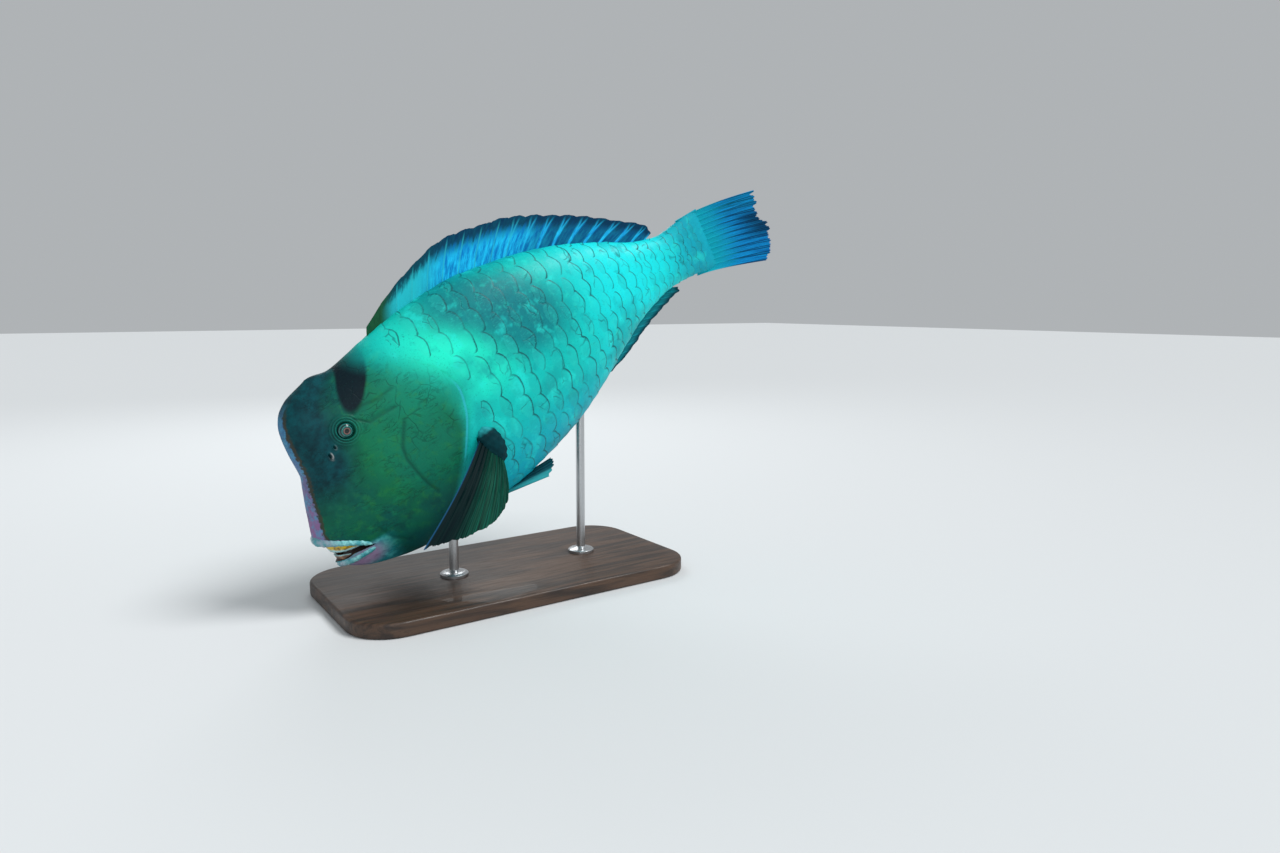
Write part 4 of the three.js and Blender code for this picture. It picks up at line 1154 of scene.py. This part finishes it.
# Stand base: one dark oiled board that lies flat on the floor and carries both rods.
# Its upright corners are rounded first, and then all its edges are eased.
BASE_LONG, BASE_WIDE, BASE_THICK = 0.62, 0.33, 0.024
CORNER_RADIUS, EASED_EDGE = 0.074, 0.004
bpy.ops.object.select_all(action="DESELECT")
bpy.ops.mesh.primitive_cube_add(
    size=1.0, location=(0.0, 0.0, BASE_THICK / 2), scale=(BASE_LONG, BASE_WIDE, BASE_THICK)
)
base = bpy.context.object
base.name = "base_board"
bpy.ops.object.transform_apply(location=True, rotation=True, scale=True)
for size, steps, upright in ((CORNER_RADIUS, 16, True), (EASED_EDGE, 3, False)):
    ends = [[base.data.vertices[i].co.z for i in rim.vertices] for rim in base.data.edges]
    pick_parts(base, "EDGE", [(abs(a - c) > 0.01) == upright for a, c in ends])
    bpy.ops.mesh.bevel(offset=size, offset_type="OFFSET", segments=steps, affect="EDGES", clamp_overlap=False)
    bpy.ops.object.mode_set(mode="OBJECT")
bpy.ops.object.shade_smooth_by_angle(angle=math.radians(40))
wood_finish, b, board = finish("oiled_board", coat=0.08)
spot = b.add("ShaderNodeTexCoord").outputs["Object"]
rings = b.noise(b.stretched(spot, (0.6, 7.0, 7.0)), 6.0, 5.0, 0.6, 1.2)
pores = b.noise(b.stretched(spot, (3.0, 90.0, 90.0)), 8.0, 4.0, 0.6)
tint = b.mix(b.mask(rings, 0.38, 0.62), (0.022, 0.011, 0.006), (0.075, 0.038, 0.020))
b.feed(board.inputs["Base Color"], b.over(tint, (0.012, 0.006, 0.003), b.mask(pores, 0.5, 0.7), 0.5))
b.feed(board.inputs["Roughness"], b.mask(pores, 0.3, 0.7, 0.42, 0.6))
raise_height(b, board, pores, 0.0003, 0.5)
base.data.materials.append(wood_finish)
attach(base, "root")
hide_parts("stand_base")

# Stand rods: brushed steel, each on a turned foot that is let onto the board and ending inside the belly.
# A foot disc's upper face is drawn up step by step into the foot's rounded shoulder and the rod.
ROD_RADIUS, FOOT_RADIUS, FOOT_THICK = 0.008, 0.024, 0.0042
FOOT_MIDDLE, FOOT_TOP = 0.0264, 0.0285
INTO_BELLY = 7.0
steel_finish, b, steel = finish("brushed_rod")
spot = b.add("ShaderNodeTexCoord").outputs["Object"]
brushed = b.noise(b.stretched(spot, (60.0, 60.0, 900.0)), 6.0, 3.0, 0.7)
b.feed(steel.inputs["Base Color"], b.mix(brushed, (0.42, 0.43, 0.44), (0.60, 0.61, 0.62)))
b.feed(steel.inputs["Roughness"], b.mask(brushed, 0.2, 0.8, 0.22, 0.40))
steel.inputs["Metallic"].default_value = 1.0
raise_height(b, steel, brushed, 0.00008, 0.5)
keel_along = np.arange(0.0, 880.0, 1.0)
keel_floor = keel_along * math.cos(NOSE_DOWN) - belly_z(keel_along) * math.sin(NOSE_DOWN) - LIP_AHEAD
keel_high = keel_along * math.sin(NOSE_DOWN) + belly_z(keel_along) * math.cos(NOSE_DOWN) + LIP_HEIGHT
for word, node, rod_x in (("front", "stand_rod_front", -95.0), ("rear", "stand_rod_rear", 160.0)):
    rod_top = (float(np.interp(rod_x, keel_floor, keel_high)) + INTO_BELLY) / 1000.0
    bpy.ops.object.select_all(action="DESELECT")
    bpy.ops.mesh.primitive_cylinder_add(
        vertices=64, radius=FOOT_RADIUS, depth=FOOT_THICK, location=(rod_x / 1000.0, 0, FOOT_MIDDLE)
    )
    rod = bpy.context.object
    rod.name = "rod_" + word
    bpy.ops.object.transform_apply(location=True, rotation=True, scale=True)
    pick_parts(rod, "FACE", [lid.normal.z > 0.9 for lid in rod.data.polygons])
    high_now, wide_now = FOOT_TOP, FOOT_RADIUS
    for next_high, next_wide in (
        (0.0305, 0.0215), (0.0313, 0.0168), (0.0325, 0.0105), (0.0343, ROD_RADIUS), (rod_top, ROD_RADIUS),
    ):
        bpy.ops.mesh.extrude_region_move(TRANSFORM_OT_translate={"value": (0.0, 0.0, next_high - high_now)})
        grow = next_wide / wide_now
        bpy.ops.transform.resize(value=(grow, grow, 1.0), center_override=(rod_x / 1000.0, 0.0, next_high))
        high_now, wide_now = next_high, next_wide
    bpy.ops.object.mode_set(mode="OBJECT")
    bpy.ops.object.shade_smooth_by_angle(angle=math.radians(35))
    rod.data.materials.append(steel_finish)
    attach(rod, "root")
    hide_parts(node)
